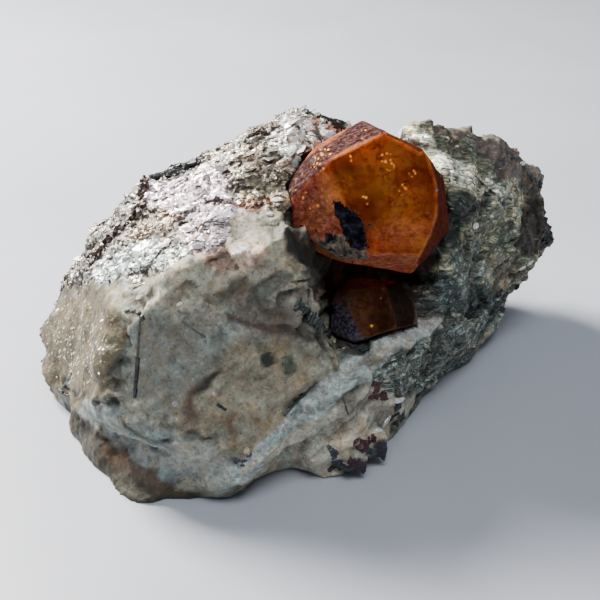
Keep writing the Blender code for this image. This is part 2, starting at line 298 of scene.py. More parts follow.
def inside(pixels, outline):
    """How far inside an outline each pixel lies, in pixels: negative outside it."""
    x, y = pixels[:, 0], pixels[:, 1]
    within = np.zeros(len(pixels), bool)
    nearest = np.full(len(pixels), np.inf)
    corners = rows(outline)
    for (x0, y0), (x1, y1) in zip(corners, corners[1:] + corners[:1]):
        dx, dy = x1 - x0, y1 - y0
        if dy:
            within ^= ((y0 > y) != (y1 > y)) & (x < x0 + (y - y0) * dx / dy)
        share = np.clip(((x - x0) * dx + (y - y0) * dy) / (dx * dx + dy * dy), 0.0, 1.0)
        nearest = np.minimum(nearest, np.hypot(x - x0 - share * dx, y - y0 - share * dy))
    return np.where(within, nearest, -nearest)


# ---------------------------------------------------------------- noise
# A shift moves a noise to a place of its own, so that no two of them agree. It has no other meaning.
def smoothstep(low, high, value):
    """A share that grows smoothly from 0 at low to 1 at high, which may be the smaller of the two."""
    share = np.clip((value - low) / (high - low), 0.0, 1.0)
    return share * share * (3.0 - 2.0 * share)


def waves(places, span, shift=0.0, octaves=1):
    """Noise about 0, of about 1 each way, with features about span across."""
    spots = places / span + shift
    if octaves == 1:
        return np.array([noise.noise(Vector(s)) for s in spots])
    return np.array([noise.fractal(Vector(s), 1.0, 2.0, octaves) for s in spots])


def wandering(places, span, shifts):
    """A noise for each axis, as rows."""
    return np.stack([waves(places, span, shift) for shift in shifts], axis=1)


def drawn_out(places, along, stretch):
    """The places in a space in which shapes come out longer along a direction."""
    axis = unit(along)
    return places - np.outer(places @ axis, axis) * (1.0 - 1.0 / stretch)


def swirled(places, along, stretch, swirl, span=5.0):
    """The places in a space in which noise comes out as fibres that run along a direction and swirl."""
    return drawn_out(places + swirl * wandering(places, span, (3.1, 17.7, 29.3)), along, stretch)


def fibrous(places):
    """The places in a space in which noise comes out as fibres, in patches that each run their own way."""
    bent = swirled(places, FIBRES, 1.0, 0.5)
    turned_places = np.empty_like(bent)
    for k, place in enumerate(bent):
        middle = noise.voronoi(Vector(place / FIBRE_PATCH + 31.0))[1][0]
        turn = Matrix.Rotation((noise.cell(middle * 57.3) - 0.5) * FIBRE_SPREAD, 3, Vector(BED))
        turned_places[k] = turn @ Vector(place)
    return drawn_out(turned_places, FIBRES, 8.0)


def terraces(height, step):
    """How far a height is from the stepped surface through it: flat treads and short risers."""
    level = height / step
    tread = np.floor(level)
    return step * (tread + smoothstep(0.7, 1.0, level - tread) - level)


def scales(places, span, lean, shift):
    """The relief of flat scales about span across, each at its own slant, and how near each place is to the
    edge of its scale."""
    bent = places + 0.22 * span * wandering(places, 0.7 * span, (shift, shift + 5.0, shift + 9.0))
    heights, edges = [], []
    for spot in bent / span + shift:
        distances, middles = noise.voronoi(Vector(spot))
        slant = noise.cell_vector(middles[0] * 31.7) - Vector((0.5, 0.5, 0.5))
        heights.append(slant.dot(Vector(spot) - middles[0]))
        edges.append(distances[1] - distances[0])
    return 2.0 * lean * span * np.array(heights), 1.0 - smoothstep(0.02, 0.16, np.array(edges))


def hashed(sheet, patch):
    """A number from 0 to 1 for each pair of whole numbers, with no order to it."""
    return np.modf(np.abs(np.sin(sheet * 12.9898 + patch * 78.233) * 43758.5453))[0]


def laminae(places):
    """Thin sheets with wavy borders: how high each place lies in its sheet, the sheet's shade, and how near
    its border the place is."""
    height = SHEET_COUNT * waves(places, SHEET_SPAN, 5.0, 3)
    sheet = np.floor(height)
    share = height - sheet
    patch = np.floor(3.0 * waves(places, 2.0 * SHEET_SPAN, 46.0))
    return share, hashed(sheet, patch), 1.0 - smoothstep(0.0, 0.22, share)


# ---------------------------------------------------------------- meshes
def arrays(mesh):
    """A mesh's places in millimetres and its normals, as rows."""
    places = np.empty(len(mesh.vertices) * 3)
    normals = np.empty(len(mesh.vertices) * 3)
    mesh.vertices.foreach_get("co", places)
    mesh.vertices.foreach_get("normal", normals)
    return places.reshape(-1, 3) / MM, normals.reshape(-1, 3)


def set_places(mesh, places):
    mesh.vertices.foreach_set("co", (places * MM).ravel())
    mesh.update()


def set_values(mesh, name, values):
    layer = mesh.attributes.new(name, "FLOAT", "POINT")
    layer.data.foreach_set("value", np.asarray(values, np.float32))


def set_colours(mesh, name, colours):
    layer = mesh.attributes.new(name, "FLOAT_COLOR", "POINT")
    opaque = np.concatenate((colours, np.ones((len(colours), 1))), axis=1)
    layer.data.foreach_set("color", opaque.astype(np.float32).ravel())


def added(name, data):
    """A new object in the scene."""
    made = bpy.data.objects.new(name, data)
    bpy.context.collection.objects.link(made)
    return made


def apply_modifiers(piece):
    evaluated = piece.evaluated_get(bpy.context.evaluated_depsgraph_get())
    mesh = bpy.data.meshes.new_from_object(evaluated)
    piece.modifiers.clear()
    piece.data = mesh


def refined(node, name, grid, smoothing):
    """A fine, even copy of a CAD node, with its edges worn round."""
    piece = added(name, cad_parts[node].data.copy())
    remesh = piece.modifiers.new("fine", "REMESH")
    remesh.mode = "VOXEL"
    remesh.voxel_size = grid * MM
    smooth = piece.modifiers.new("worn", "SMOOTH")
    smooth.factor = 0.5
    smooth.iterations = smoothing
    apply_modifiers(piece)
    piece.data.materials.clear()
    piece.data.shade_smooth()
    return piece


def tree_of(*pieces):
    """A tree of the surfaces of some pieces, in millimetres."""
    spots, faces = [], []
    for piece in pieces:
        first = len(spots)
        spots += [Vector(p) for p in arrays(piece.data)[0]]
        faces += [tuple(first + k for k in f.vertices) for f in piece.data.polygons]
    return BVHTree.FromPolygons(spots, faces)


# ---------------------------------------------------------------- the rock's colours and relief
def blended(colours, colour, share):
    return colours + share[:, None] * (np.array(colour) - colours)


def painted_unseen(places, normals, fine):
    """The sides that the photograph doesn't show: mica along the layers, dark fibrous and pale bands."""
    band = waves(places + np.outer(3.0 * (places @ BED), BED), 6.0, 41.0, 3)
    dark = smoothstep(0.05, 0.35, band)
    pale = smoothstep(0.15, 0.45, waves(places, 4.0, 57.0, 2))
    flaky = smoothstep(0.35, 0.7, normals @ BED + 0.25 * fine) * (places[:, 0] < 6.0)
    colour = np.tile(0.72 * np.array(OLIVE), (len(places), 1))
    colour = blended(colour, (0.25, 0.25, 0.205), pale)
    colour = blended(colour, (0.042, 0.048, 0.041), dark)
    colour = blended(colour, (0.36, 0.335, 0.295), flaky)
    return colour, {"mica": flaky, "fibre": 0.8 * dark, "sugar": 0.0, "even": 0.0}


def painted_seen(places):
    """The sides that the photograph shows: its regions, with borders broken up by noise."""
    coarse = waves(places, 5.0, 11.0, 3)
    colour = np.tile(OLIVE, (len(places), 1))
    colour = blended(colour, (0.33, 0.31, 0.24), smoothstep(0.0, 0.5, coarse))
    colour = blended(colour, (0.21, 0.225, 0.20), smoothstep(0.0, 0.5, -coarse))
    kinds = {kind: np.zeros(len(places)) for kind in KINDS}
    pixels = seen(places)
    warp = np.stack((waves(places, 2.2, 71.0, 3), waves(places, 2.2, 83.0, 3)), axis=1)
    for region in REGIONS.values():
        depth = inside(pixels + 1.1 * region.edge * warp, region.outline)
        share = smoothstep(-0.5 * region.edge, 0.5 * region.edge, depth)
        colour = blended(colour, region.colour, share)
        for kind in KINDS:
            kinds[kind] += share * (getattr(region, kind) - kinds[kind])
    return colour, kinds


def painted(places, normals):
    """The colour of each place of the rock, and how much it is of each kind."""
    fine = waves(places, 1.6, 23.0, 3)
    colour, kinds = painted_unseen(places, normals, fine)
    front, shown = painted_seen(places)
    share = smoothstep(-0.12, 0.12, facing(places, normals))
    colour += share[:, None] * (front - colour)
    for kind in KINDS:
        kinds[kind] = kinds[kind] + share * (shown[kind] - kinds[kind])
    colour *= (1.0 + 0.22 * fine)[:, None]
    return np.clip(colour, 0.01, 1.0), kinds


def relief(places, kinds):
    """How far the rock's broken surface stands out at each place."""
    rough = 0.06 * waves(places, 1.7, 5.0, 3) + 0.05 * waves(places, 0.7, 9.0, 2)
    layered = drawn_out(places, MICA_GRAIN, 2.2)
    flakes = terraces(1.8 * waves(layered, 2.6, 13.0, 3), 0.34) + scales(layered, 1.6, 0.16, 3.0)[0]
    stepped = smoothstep(-0.3, 0.4, waves(places, 6.0, 97.0, 2))
    ledges = 0.5 * stepped * terraces(places @ BED + 2.2 * waves(places, 5.0, 91.0, 4), 2.1)
    crags = scales(places, 2.6, 0.22, 61.0)[0] + scales(places, 1.0, 0.17, 67.0)[0] + ledges
    chipped = 0.5 * scales(places, 1.5, 0.12, 73.0)[0] + 0.5 * scales(places, 0.6, 0.16, 79.0)[0]
    broken = crags + kinds["even"] * (chipped - crags) - 0.8 * kinds["fibre"] * (crags - 0.4 * ledges)
    strands = 0.09 * waves(fibrous(places), 0.55, 31.0, 2) + scales(places, 4.2, 0.17, 37.0)[0]
    grains = 0.06 * waves(places, 0.5, 43.0, 2)
    bare = 1.0 - np.clip(kinds["mica"] + 0.6 * kinds["sugar"], 0.0, 1.0)
    whole = bare * broken + kinds["mica"] * flakes + kinds["fibre"] * strands + kinds["sugar"] * grains
    return rough + whole


def draw_up(places, crystal):
    """Moves the rock's places near a crystal to just off its surface, and those inside it out of it."""
    for k, place in enumerate(places):
        spot, direction, _, gap = crystal.find_nearest(Vector(place), REACH_OF_CONTACT)
        if spot is None:
            continue
        outward = (Vector(place) - spot).dot(direction)
        pull = smoothstep(REACH_OF_CONTACT, FULL_CONTACT, gap) if outward > 0 else 1.0
        places[k] += np.array(direction) * (CONTACT - outward) * float(pull)


def make_rock(crystals):
    rock = refined("matrix", "rock", ROCK_GRID, 3)
    places, normals = arrays(rock.data)
    colour, kinds = painted(places, normals)
    move = relief(places, kinds) * smoothstep(*FOOT, places[:, 2])
    # painted shade: the colour is darkened where the relief sinks, less where the rock is micaceous
    cavity = smoothstep(0.0, 0.30, -move) * (1.0 - 0.6 * kinds["mica"])
    colour *= (1.0 - CAVITY_PAINTED_SHADE * cavity)[:, None]
    moved = places + normals * move[:, None]
    for crystal in crystals:
        draw_up(moved, crystal)
    moved[:, 2] = np.maximum(moved[:, 2], 0.0)
    set_places(rock.data, moved)
    set_colours(rock.data, "tint", colour)
    for kind in KINDS:
        set_values(rock.data, kind, kinds[kind])
    return rock, kinds, colour


def micaceous_part(rock, mica):
    """The rock's micaceous surface as a finer mesh, which keeps the rock's values."""
    shape = bmesh.new()
    shape.from_mesh(rock.data)
    bare = [v for v in shape.verts if mica[v.index] < SKIN_FROM]
    bmesh.ops.delete(shape, geom=bare, context="VERTS")
    bmesh.ops.subdivide_edges(shape, edges=shape.edges, cuts=1, use_grid_fill=True)
    mesh = bpy.data.meshes.new("mica_skin")
    shape.to_mesh(mesh)
    shape.free()
    return mesh


def make_mica_skin(rock, kinds):
    """A finer copy of the rock's micaceous parts, in sheets, that dips into the rock at its border."""
    mesh = micaceous_part(rock, kinds["mica"])
    skin = added("mica_skin", mesh)
    places, normals = arrays(mesh)
    mica = np.empty(len(places), np.float32)
    mesh.attributes["mica"].data.foreach_get("value", mica)
    cover = smoothstep(*SKIN_SHOWN, mica)
    rich = smoothstep(0.5, 0.9, mica)
    bent = swirled(places, MICA_GRAIN, 2.4, 0.7, 2.6)
    share, shade, edge = laminae(bent)
    tilt, crack = scales(bent, 1.1, 0.18, 15.0)
    height = 0.09 * share + (0.3 + 0.7 * rich) * tilt + 0.03 * waves(places, 0.35, 47.0, 2)
    move = cover * (height + SKIN_LIFT) - SKIN_HIDDEN * (1.0 - cover)
    set_places(mesh, places + normals * move[:, None])
    set_values(mesh, "own", shade)
    # painted shadow in the cracks and gaps between the sheets, where the mica is rich
    gap = np.maximum(edge, 0.8 * crack) * smoothstep(-0.25, 0.15, waves(places, 1.3, 53.0, 2))
    set_values(mesh, "gap", gap * rich)
    mesh.shade_smooth()
    return skin


# ---------------------------------------------------------------- node materials
LEVEL = (0.5, 0.5, 0.5)  # a grey that leaves a surface flat


class Look:
    """A node material with a Principled shader, and short calls to add nodes to it. Spans are in
    millimetres, and a source is a number, a colour or another node's output."""

    def __init__(self, name):
        self.material = bpy.data.materials.new(name)
        self.material.use_nodes = True
        self.nodes = self.material.node_tree.nodes
        self.links = self.material.node_tree.links
        self.shader = self.nodes["Principled BSDF"]
        self.place = self.nodes.new("ShaderNodeTexCoord").outputs["Object"]

    def set(self, **values):
        """Numbers or colours on the shader's own sockets, such as specular_ior_level=0.35."""
        for key, value in values.items():
            name = key.replace("_", " ").title().replace("Ior", "IOR")
            self.shader.inputs[name].default_value = value

    def feed(self, name, source):
        self.links.new(source, self.shader.inputs[name])

    def give(self, source, socket):
        if isinstance(source, bpy.types.NodeSocket):
            self.links.new(source, socket)
        elif hasattr(source, "__len__") and len(source) == 3 and len(socket.default_value) == 4:
            socket.default_value = (*source, 1.0)
        else:
            socket.default_value = source

    def add(self, kind, output, sources, **settings):
        """One output of a new node. The sources are those of its inputs, by name or number."""
        node = self.nodes.new("ShaderNode" + kind)
        for name, setting in settings.items():
            setattr(node, name, setting)
        for name, source in sources.items():
            self.give(source, node.inputs[name])
        return node.outputs[output]

    def attribute(self, name, output="Fac"):
        return self.add("Attribute", output, {}, attribute_name=name)

    def stretched(self, scale, turn=(0.0, 0.0, 0.0), place=None):
        sources = {"Vector": place or self.place, "Scale": scale, "Rotation": turn}
        return self.add("Mapping", "Vector", sources)

    def noise(self, span, detail=3.0, roughness=0.55, place=None, distortion=0.0, output="Fac"):
        sources = {"Vector": place or self.place, "Scale": 1.0 / (span * MM), "Detail": detail,
                   "Roughness": roughness, "Distortion": distortion}
        return self.add("TexNoise", output, sources)

    def cells(self, span, output="Color", place=None, feature="F1"):
        sources = {"Vector": place or self.place, "Scale": 1.0 / (span * MM)}
        return self.add("TexVoronoi", output, sources, feature=feature)

    def vector(self, operation, *sources):
        return self.add("VectorMath", 0, dict(enumerate(sources)), operation=operation)

    def math(self, operation, *sources):
        return self.add("Math", 0, dict(enumerate(sources)), operation=operation)

    def warped(self, span, reach):
        """Places thrown off by up to about reach, with the noise's span."""
        away = self.vector("SUBTRACT", self.noise(span, 2.0, 0.5, output="Color"), LEVEL)
        return self.vector("ADD", self.place, self.vector("MULTIPLY", away, (2.0 * reach * MM,) * 3))

    def thrown(self, colours, spread):
        """The surface's normal, thrown off by up to about spread, differently for each colour."""
        normal = self.add("NewGeometry", "Normal", {})
        away = self.vector("SUBTRACT", colours, LEVEL)
        away = self.add("VectorMath", 0, {0: away, "Scale": spread}, operation="SCALE")
        return self.vector("NORMALIZE", self.vector("ADD", normal, away))

    def rotated(self, place, angle):
        """Places turned about the direction across the schist's layers, by an angle that may vary."""
        return self.add("VectorRotate", "Vector", {"Vector": place, "Axis": BED, "Angle": angle})

    def scattered(self, number):
        """A shade from 0 to 1 for each whole number, with no order to it."""
        return self.add("TexWhiteNoise", "Value", {"W": number}, noise_dimensions="1D")

    def ramp(self, source, *stops):
        node = self.nodes.new("ShaderNodeValToRGB")
        self.links.new(source, node.inputs["Fac"])
        ramp = node.color_ramp
        while len(ramp.elements) < len(stops):
            ramp.elements.new(0.5)
        for element, (position, colour) in zip(ramp.elements, stops):
            element.position = position
            shade = (colour,) * 3 if isinstance(colour, float) else colour
            element.color = (*shade, 1.0)
        return node.outputs["Color"]

    def ragged(self, attribute, span, sharp):
        """Where an attribute is high, with an edge broken by noise."""
        wild = self.math("MULTIPLY_ADD", self.noise(span, 5.0, 0.75, distortion=0.6), 2.0, -0.5)
        half = self.math("MULTIPLY", self.math("ADD", attribute, wild), 0.5)
        return self.ramp(half, (0.5 - sharp, 0.0), (0.5 + sharp, 1.0))

    def mix(self, share, a, b, kind="MIX"):
        return self.add("Mix", 2, {"Factor": share, 6: a, 7: b}, data_type="RGBA", blend_type=kind)

    def times(self, colour, *shades):
        for shade in shades:
            colour = self.mix(1.0, colour, shade, "MULTIPLY")
        return colour

    def bump(self, height, distance, normal=None, where=None):
        """The normal of a surface with a relief, all over it or only where a share is high."""
        if where:
            height = self.mix(where, LEVEL, height)
        sources = {"Height": height, "Distance": distance * MM}
        if normal:
            sources["Normal"] = normal
        return self.add("Bump", "Normal", sources)


def broken_colour(look, fibre, even, grain):
    """The bare rock's colour: its tint with soft hues, mottling, grains, specks and mossy spots."""
    hue = look.ramp(look.noise(1.6, 5.0, 0.6, distortion=0.5),
                    (0.34, (1.14, 0.98, 0.78)), (0.5, 1.0), (0.66, (0.88, 1.03, 1.02)))
    colour = look.times(look.attribute("tint", "Color"), hue)
    mottle = look.ramp(look.noise(0.8, 6.0, 0.72, distortion=0.4), (0.32, 0.62), (0.5, 0.98), (0.68, 1.4))
    colour = look.mix(look.math("MULTIPLY_ADD", fibre, -0.7, 1.0), colour, look.times(colour, mottle))
    grains = look.ramp(grain, (0.15, 0.72), (0.5, 0.98), (0.85, 1.35))
    calm = look.ramp(look.noise(2.6, 5.0, 0.6, distortion=0.8), (0.36, 0.72), (0.5, 1.0), (0.64, 1.3))
    colour = look.times(colour, look.mix(even, grains, look.mix(0.65, grains, calm)))
    specks = look.ramp(look.noise(0.26, 3.0, 0.7, distortion=0.5),
                       (0.33, 0.30), (0.42, 1.0), (0.60, 1.0), (0.70, 1.8))
    colour = look.mix(0.8, colour, look.times(colour, specks))
    moss = look.noise(0.55, 4.0, 0.65, look.stretched((0.6, 1.3, 1.0), (0.4, 0.2, 0.9)), 0.8)
    return look.mix(look.ramp(moss, (0.63, 0.0), (0.69, 0.55)), colour, (0.040, 0.050, 0.034))


def scaly(look):
    """Flat scales: a random colour for each, and how much brighter or darker they are: painted glints on
    some, painted shadow in the gaps between them.
    """
    flat = look.stretched((1.0, 1.0, 2.2), (0.3, -0.55, 0.0), look.warped(0.8, 0.25))
    flakes = look.cells(0.42, "Color", flat)
    glint = look.ramp(flakes, (0.18, 0.40), (0.45, 0.95), (0.8, 1.7))
    gaps = look.ramp(look.noise(0.45, 3.0, 0.7, flat, 0.6), (0.36, 0.12), (0.44, 1.0))
    return flakes, (glint, gaps)


def streaky(look):
    """Long fibres in patches that each run their own way: their strands, a random colour for each blade, and
    how much darker or brighter than the rock they are."""
    patches = look.cells(3.2, "Color", look.warped(2.5, 1.2))
    swung = look.rotated(look.warped(3.0, 0.12), look.math("MULTIPLY_ADD", patches, 0.7, -0.35))
    along = look.stretched((0.11, 1.2, 1.0), (0.1, 0.45, 0.5), swung)
    strands = look.noise(0.42, 4.0, 0.66, along)
    blades = look.cells(0.36, "Color", along)
    splits = look.cells(0.36, "Distance", along, "DISTANCE_TO_EDGE")
    shades = look.times(
        look.ramp(strands, (0.36, 0.35), (0.45, 0.85), (0.55, 1.05), (0.69, 1.9)),
        look.ramp(patches, (0.2, (0.72, 0.76, 0.78)), (0.5, 1.0), (0.8, (1.26, 1.24, 1.14))),
        look.ramp(blades, (0.25, 0.50), (0.5, 0.95), (0.75, 1.65)),
        look.ramp(splits, (0.0, 0.08), (0.05, 0.55), (0.10, 1.15)))
    return strands, blades, shades


def rock_look():
    """The rock: broken all over, with scales, strands or sugary grains where it is of such a kind."""
    look = Look("rock_skin")
    mica, fibre, sugar, even = (look.attribute(kind) for kind in KINDS)
    grain = look.cells(0.34, "Color", look.warped(0.3, 0.12))
    flakes, flake_shades = scaly(look)
    strands, blades, fibre_shades = streaky(look)
    colour = broken_colour(look, fibre, even, grain)
    colour = look.mix(mica, colour, look.times(colour, *flake_shades))
    look.feed("Base Color", look.mix(fibre, colour, look.times(colour, fibre_shades)))
    gloss = look.ramp(grain, (0.2, 0.42), (0.8, 0.72))
    look.feed("Roughness", look.mix(mica, gloss, look.ramp(flakes, (0.2, 0.22), (0.8, 0.5))))
    normal = look.thrown(look.mix(fibre, grain, blades), look.math("MULTIPLY_ADD", fibre, 0.06, 0.22))
    normal = look.bump(look.noise(0.30, 5.0, 0.72), 0.09, normal)
    normal = look.bump(flakes, 0.12, normal, mica)
    normal = look.bump(strands, 0.15, normal, fibre)
    look.feed("Normal", look.bump(look.cells(0.22, "Distance"), 0.06, normal, sugar))
    look.set(specular_ior_level=0.35)
    return look.material


def skin_look():
    """Mica in place: thin wavy sheets of slightly different shades, each at a slant of its own."""
    look = Look("mica_skin")
    tint = look.attribute("tint", "Color")
    shade = look.ramp(look.attribute("own"), (0.0, (0.30, 0.23, 0.17)), (0.2, (0.72, 0.68, 0.62)),
                      (0.5, (1.0, 1.0, 0.98)), (0.8, (1.45, 1.45, 1.5)), (1.0, (1.35, 1.2, 1.15)))
    bent = look.stretched((0.42, 1.0, 1.2), (0.0, 0.42, -0.28), look.warped(1.1, 0.45))
    level = look.math("MULTIPLY", look.noise(1.2, 3.0, 0.52, bent, 0.5), 11.0)
    share = look.math("FRACT", level)
    sheet = look.scattered(look.math("FLOOR", level))
    fine = look.noise(0.18, 4.0, 0.72)
    colour = look.times(
        tint, shade,
        look.ramp(sheet, (0.05, 0.16), (0.32, 0.85), (0.95, 2.1)),
        look.ramp(fine, (0.34, 0.65), (0.48, 1.0), (0.64, 1.3)),
        look.ramp(look.noise(1.6, 5.0, 0.7), (0.56, 1.0), (0.66, (0.66, 0.44, 0.32))),
        # painted shadow along each sheet's border
        look.ramp(share, (0.0, (0.06, 0.04, 0.03)), (0.15, (0.20, 0.15, 0.12)), (0.28, 1.1)))
    # painted shadow in the gaps between sheets
    colour = look.mix(look.attribute("gap"), colour, (0.045, 0.034, 0.026))
    cover = look.ramp(look.attribute("mica"), (0.35, 0.35), (0.85, 1.0))
    border = look.times(tint, look.ramp(fine, (0.34, 0.6), (0.64, 1.5)))
    look.feed("Base Color", look.mix(cover, border, colour))
    look.feed("Roughness", look.ramp(sheet, (0.1, 0.34), (0.9, 0.15)))
    tilted = look.thrown(look.cells(0.80, "Color", bent), look.math("MULTIPLY", cover, 0.48))
    look.feed("Normal", look.bump(fine, 0.05, look.bump(share, 0.05, tilted)))
    look.set(metallic=0.45, ior=1.6)
    return look.material


def flake_look():
    """Mica: each plate's own shade, from brown through silver white to rose and blue."""
    look = Look("mica_plate")
    shade = look.ramp(look.attribute("own"), (0.0, (0.16, 0.12, 0.09)), (0.16, (0.45, 0.41, 0.35)),
                      (0.4, (0.70, 0.69, 0.66)), (0.72, (0.92, 0.92, 0.92)), (0.9, (0.90, 0.80, 0.72)),
                      (1.0, (0.78, 0.86, 0.96)))
    shade = look.mix(0.8, shade, look.attribute("tint", "Color"), "MULTIPLY")
    stain = look.ramp(look.noise(1.5, 3.0), (0.35, (0.72, 0.62, 0.5)), (0.55, 1.0))
    look.feed("Base Color", look.mix(0.6, shade, look.times(shade, stain)))
    look.feed("Roughness", look.ramp(look.noise(0.3, 2.0), (0.35, 0.16), (0.65, 0.38)))
    look.feed("Normal", look.bump(look.noise(0.25, 3.0), 0.05))
    look.set(metallic=0.35, ior=1.6)
    return look.material


def blade_look(name, dark, pale):
    """Amphibole or biotite: each blade's own shade, with fine threads along it."""
    look = Look(name)
    threads = look.noise(0.25, 3.0, 0.6, look.stretched((0.6, 1.6, 1.0), (0.0, 0.3, 0.5)))
    shade = look.mix(look.attribute("own"), dark, pale)
    look.feed("Base Color", look.times(shade, look.ramp(threads, (0.3, 0.5), (0.7, 1.5))))
    look.feed("Roughness", look.ramp(threads, (0.3, 0.22), (0.7, 0.5)))
    look.feed("Normal", look.bump(threads, 0.08))
    return look.material


def grain_look(name, colour, rough):
    """A dull mineral grain of one colour, mottled and pitted."""
    look = Look(name)
    grain = look.noise(0.30, 4.0, 0.65)
    look.feed("Base Color", look.times(colour, look.ramp(grain, (0.3, 0.4), (0.7, 1.6))))
    look.feed("Roughness", look.ramp(grain, (0.3, 0.7 * rough), (0.7, min(1.0, 1.3 * rough))))
    look.feed("Normal", look.bump(grain, 0.075))
    return look.material


def clear_colour(look, deep, light, glow, mottling):
    """The colour inside a garnet: clouds from deep to light, lighter round the spots of painted glow, darker
    veils and mottling.
    """
    cloud = look.math("ADD", look.noise(2.2, 6.0, 0.66, distortion=0.7), look.math("MULTIPLY", glow, 0.16))
    middle = [0.5 * (a + b) for a, b in zip(deep, light)]
    body = look.ramp(cloud, (0.39, deep), (0.51, middle), (0.65, light))
    veils = look.math("ABSOLUTE", look.math("SUBTRACT", look.noise(2.6, 5.0, 0.62, distortion=0.15), 0.5))
    return look.times(body, look.ramp(veils, (0.0, (0.74, 0.55, 0.50)), (0.045, 1.0)), mottling)


def marked_colour(look, colour, pits, gold, rest_and_glints, crust):
    """A garnet's colour with golden spots of painted reflection where inner fractures catch the light, the
    grey remains of its rock with grey spots that stand for painted glints, and its blue-black crust with a
    painted sheen.
    """
    golden = look.ramp(pits, (0.42, (1.0, 0.32, 0.02)), (0.62, (1.0, 0.56, 0.12)))
    grey = look.ramp(look.noise(0.45, 4.0, 0.7), (0.38, (0.025, 0.022, 0.026)),
                     (0.52, (0.11, 0.092, 0.07)), (0.66, (0.20, 0.175, 0.14)))
    # the crust: blue-black, its paler blue patches a painted sheen
    black = look.ramp(look.noise(0.6, 4.0, 0.7), (0.42, (0.003, 0.003, 0.005)),
                      (0.56, (0.012, 0.012, 0.018)), (0.68, (0.040, 0.046, 0.075)))
    return look.mix(crust, look.mix(rest_and_glints, look.mix(gold, colour, golden), grey), black)


def feed_clearness(look, frost, glow, dim, solid, clear, rough):
    """Lets light through a garnet, less where it is hazed, etched or shaded, and none where it is solid."""
    through = look.ramp(frost, (0.0, clear), (0.7, 0.45 * clear), (0.92, 0.0))
    through = look.math("SUBTRACT", through, look.math("MULTIPLY", dim, 0.9))
    through = look.math("MAXIMUM", look.math("SUBTRACT", through, look.math("MULTIPLY", glow, 0.13)), 0.0)
    look.feed("Transmission Weight", look.math("MULTIPLY", through, look.math("SUBTRACT", 1.0, solid)))
    worn = look.math("ADD", look.math("MULTIPLY_ADD", frost, 0.13, rough), look.math("MULTIPLY", dim, 0.40))
    look.feed("Roughness", look.math("MAXIMUM", worn, look.math("MULTIPLY", solid, 0.4)))
    look.feed("Subsurface Weight", look.ramp(look.math("MAXIMUM", frost, dim), (0.6, 0.8), (0.9, 0.0)))


def garnet_look(name, deep, light, hazed, etched, shaded, absorbed, density, clear, rough):
    """A see-through garnet: its body's colours, then those of its hazed, etched and shaded faces, what its
    body absorbs, how much of the light its clear faces let in, and how rough they are."""
    look = Look(name)
    frost, glow, spark, dim = (look.attribute(mark) for mark in ("frost", "glow", "spark", "dim"))
    pits = look.noise(0.30, 4.0, 0.75)
    grooves = look.noise(0.26, 3.0, 0.6, look.stretched((0.25, 1.2, 0.9), (0.0, 0.75, 0.25)))
    mottle = look.noise(0.55, 6.0, 0.74, distortion=0.2)
    mottling = look.ramp(mottle, (0.34, (0.50, 0.36, 0.34)), (0.50, 1.0), (0.66, 1.25))
    worn_face = look.times(
        look.mix(look.ramp(frost, (0.68, 0.0), (0.90, 1.0)), hazed, etched),
        look.ramp(pits, (0.36, 0.35), (0.50, 0.9), (0.66, 1.9)),
        look.ramp(grooves, (0.38, 0.30), (0.58, 1.3)))
    body = clear_colour(look, deep, light, glow, mottling)
    colour = look.mix(look.ramp(frost, (0.0, 0.0), (0.7, 0.7), (0.88, 1.0)), body, worn_face)
    colour = look.mix(dim, colour, look.times(shaded, mottling))

    # painted reflection: golden beads at the spark spots, where inner fractures catch the light
    beads = look.ramp(look.cells(0.40, "Distance", look.warped(0.25, 0.10)), (0.22, 1.0), (0.40, 0.0))
    gold = look.math("MULTIPLY", beads, look.ramp(spark, (0.35, 0.0), (0.62, 1.0)))
    # the rock left on the garnet, and grey spots that stand for painted glints
    rest_and_glints = look.ragged(look.attribute("remnant_and_glints"), 0.60, 0.03)
    crust = look.ragged(look.attribute("crust"), 0.55, 0.02)
    solid = look.math("MAXIMUM", look.math("MULTIPLY", gold, 0.8), look.math("MAXIMUM", rest_and_glints, crust))
    look.feed("Base Color", marked_colour(look, colour, pits, gold, rest_and_glints, crust))
    feed_clearness(look, frost, glow, dim, solid, clear, rough)

    normal = look.bump(grooves, 0.012, look.bump(pits, 0.010), frost)
    normal = look.bump(look.noise(0.5, 4.0, 0.7), 0.20, normal, solid)
    look.feed("Normal", look.bump(look.noise(0.9, 2.0), 0.03, normal))
    look.set(ior=1.80, specular_tint=(0.26, 0.12, 0.06, 1.0), specular_ior_level=0.0,
             subsurface_radius=(1.0, 0.35, 0.10), subsurface_scale=2.0 * MM)
    absorption = look.add("VolumeAbsorption", "Volume", {"Color": absorbed, "Density": density})
    look.links.new(absorption, look.nodes["Material Output"].inputs["Volume"])
    return look.material


# ---------------------------------------------------------------- small solids that lie on the rock
class Heap:
    """Many small closed solids, gathered into one mesh, each with a shade and a tint of its own."""

    def __init__(self):
        self.spots, self.faces, self.own, self.tint = [], [], [], []

    def solid(self, lower, upper, own, tint=(1.0, 1.0, 1.0)):
        """The solid between two loops of the same number of corners."""
        first, count = len(self.spots), len(lower)
        self.spots += [tuple(c) for c in lower] + [tuple(c) for c in upper]
        self.faces.append(tuple(first + k for k in reversed(range(count))))
        self.faces.append(tuple(first + count + k for k in range(count)))
        for k in range(count):
            after = (k + 1) % count
            self.faces.append((first + k, first + after, first + count + after, first + count + k))
        self.own += [own] * (2 * count)
        self.tint += [tint] * (2 * count)

    def piece(self, name, look, slot):
        """The whole heap as one piece of the part."""
        mesh = bpy.data.meshes.new(name)
        mesh.from_pydata((np.array(self.spots) * MM).tolist(), [], self.faces)
        mesh.update()
        set_values(mesh, "own", self.own)
        if self.tint:
            set_colours(mesh, "tint", np.array(self.tint))
        mesh.materials.append(look)
        made = added(name, mesh)
        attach(made, "root")
        return made


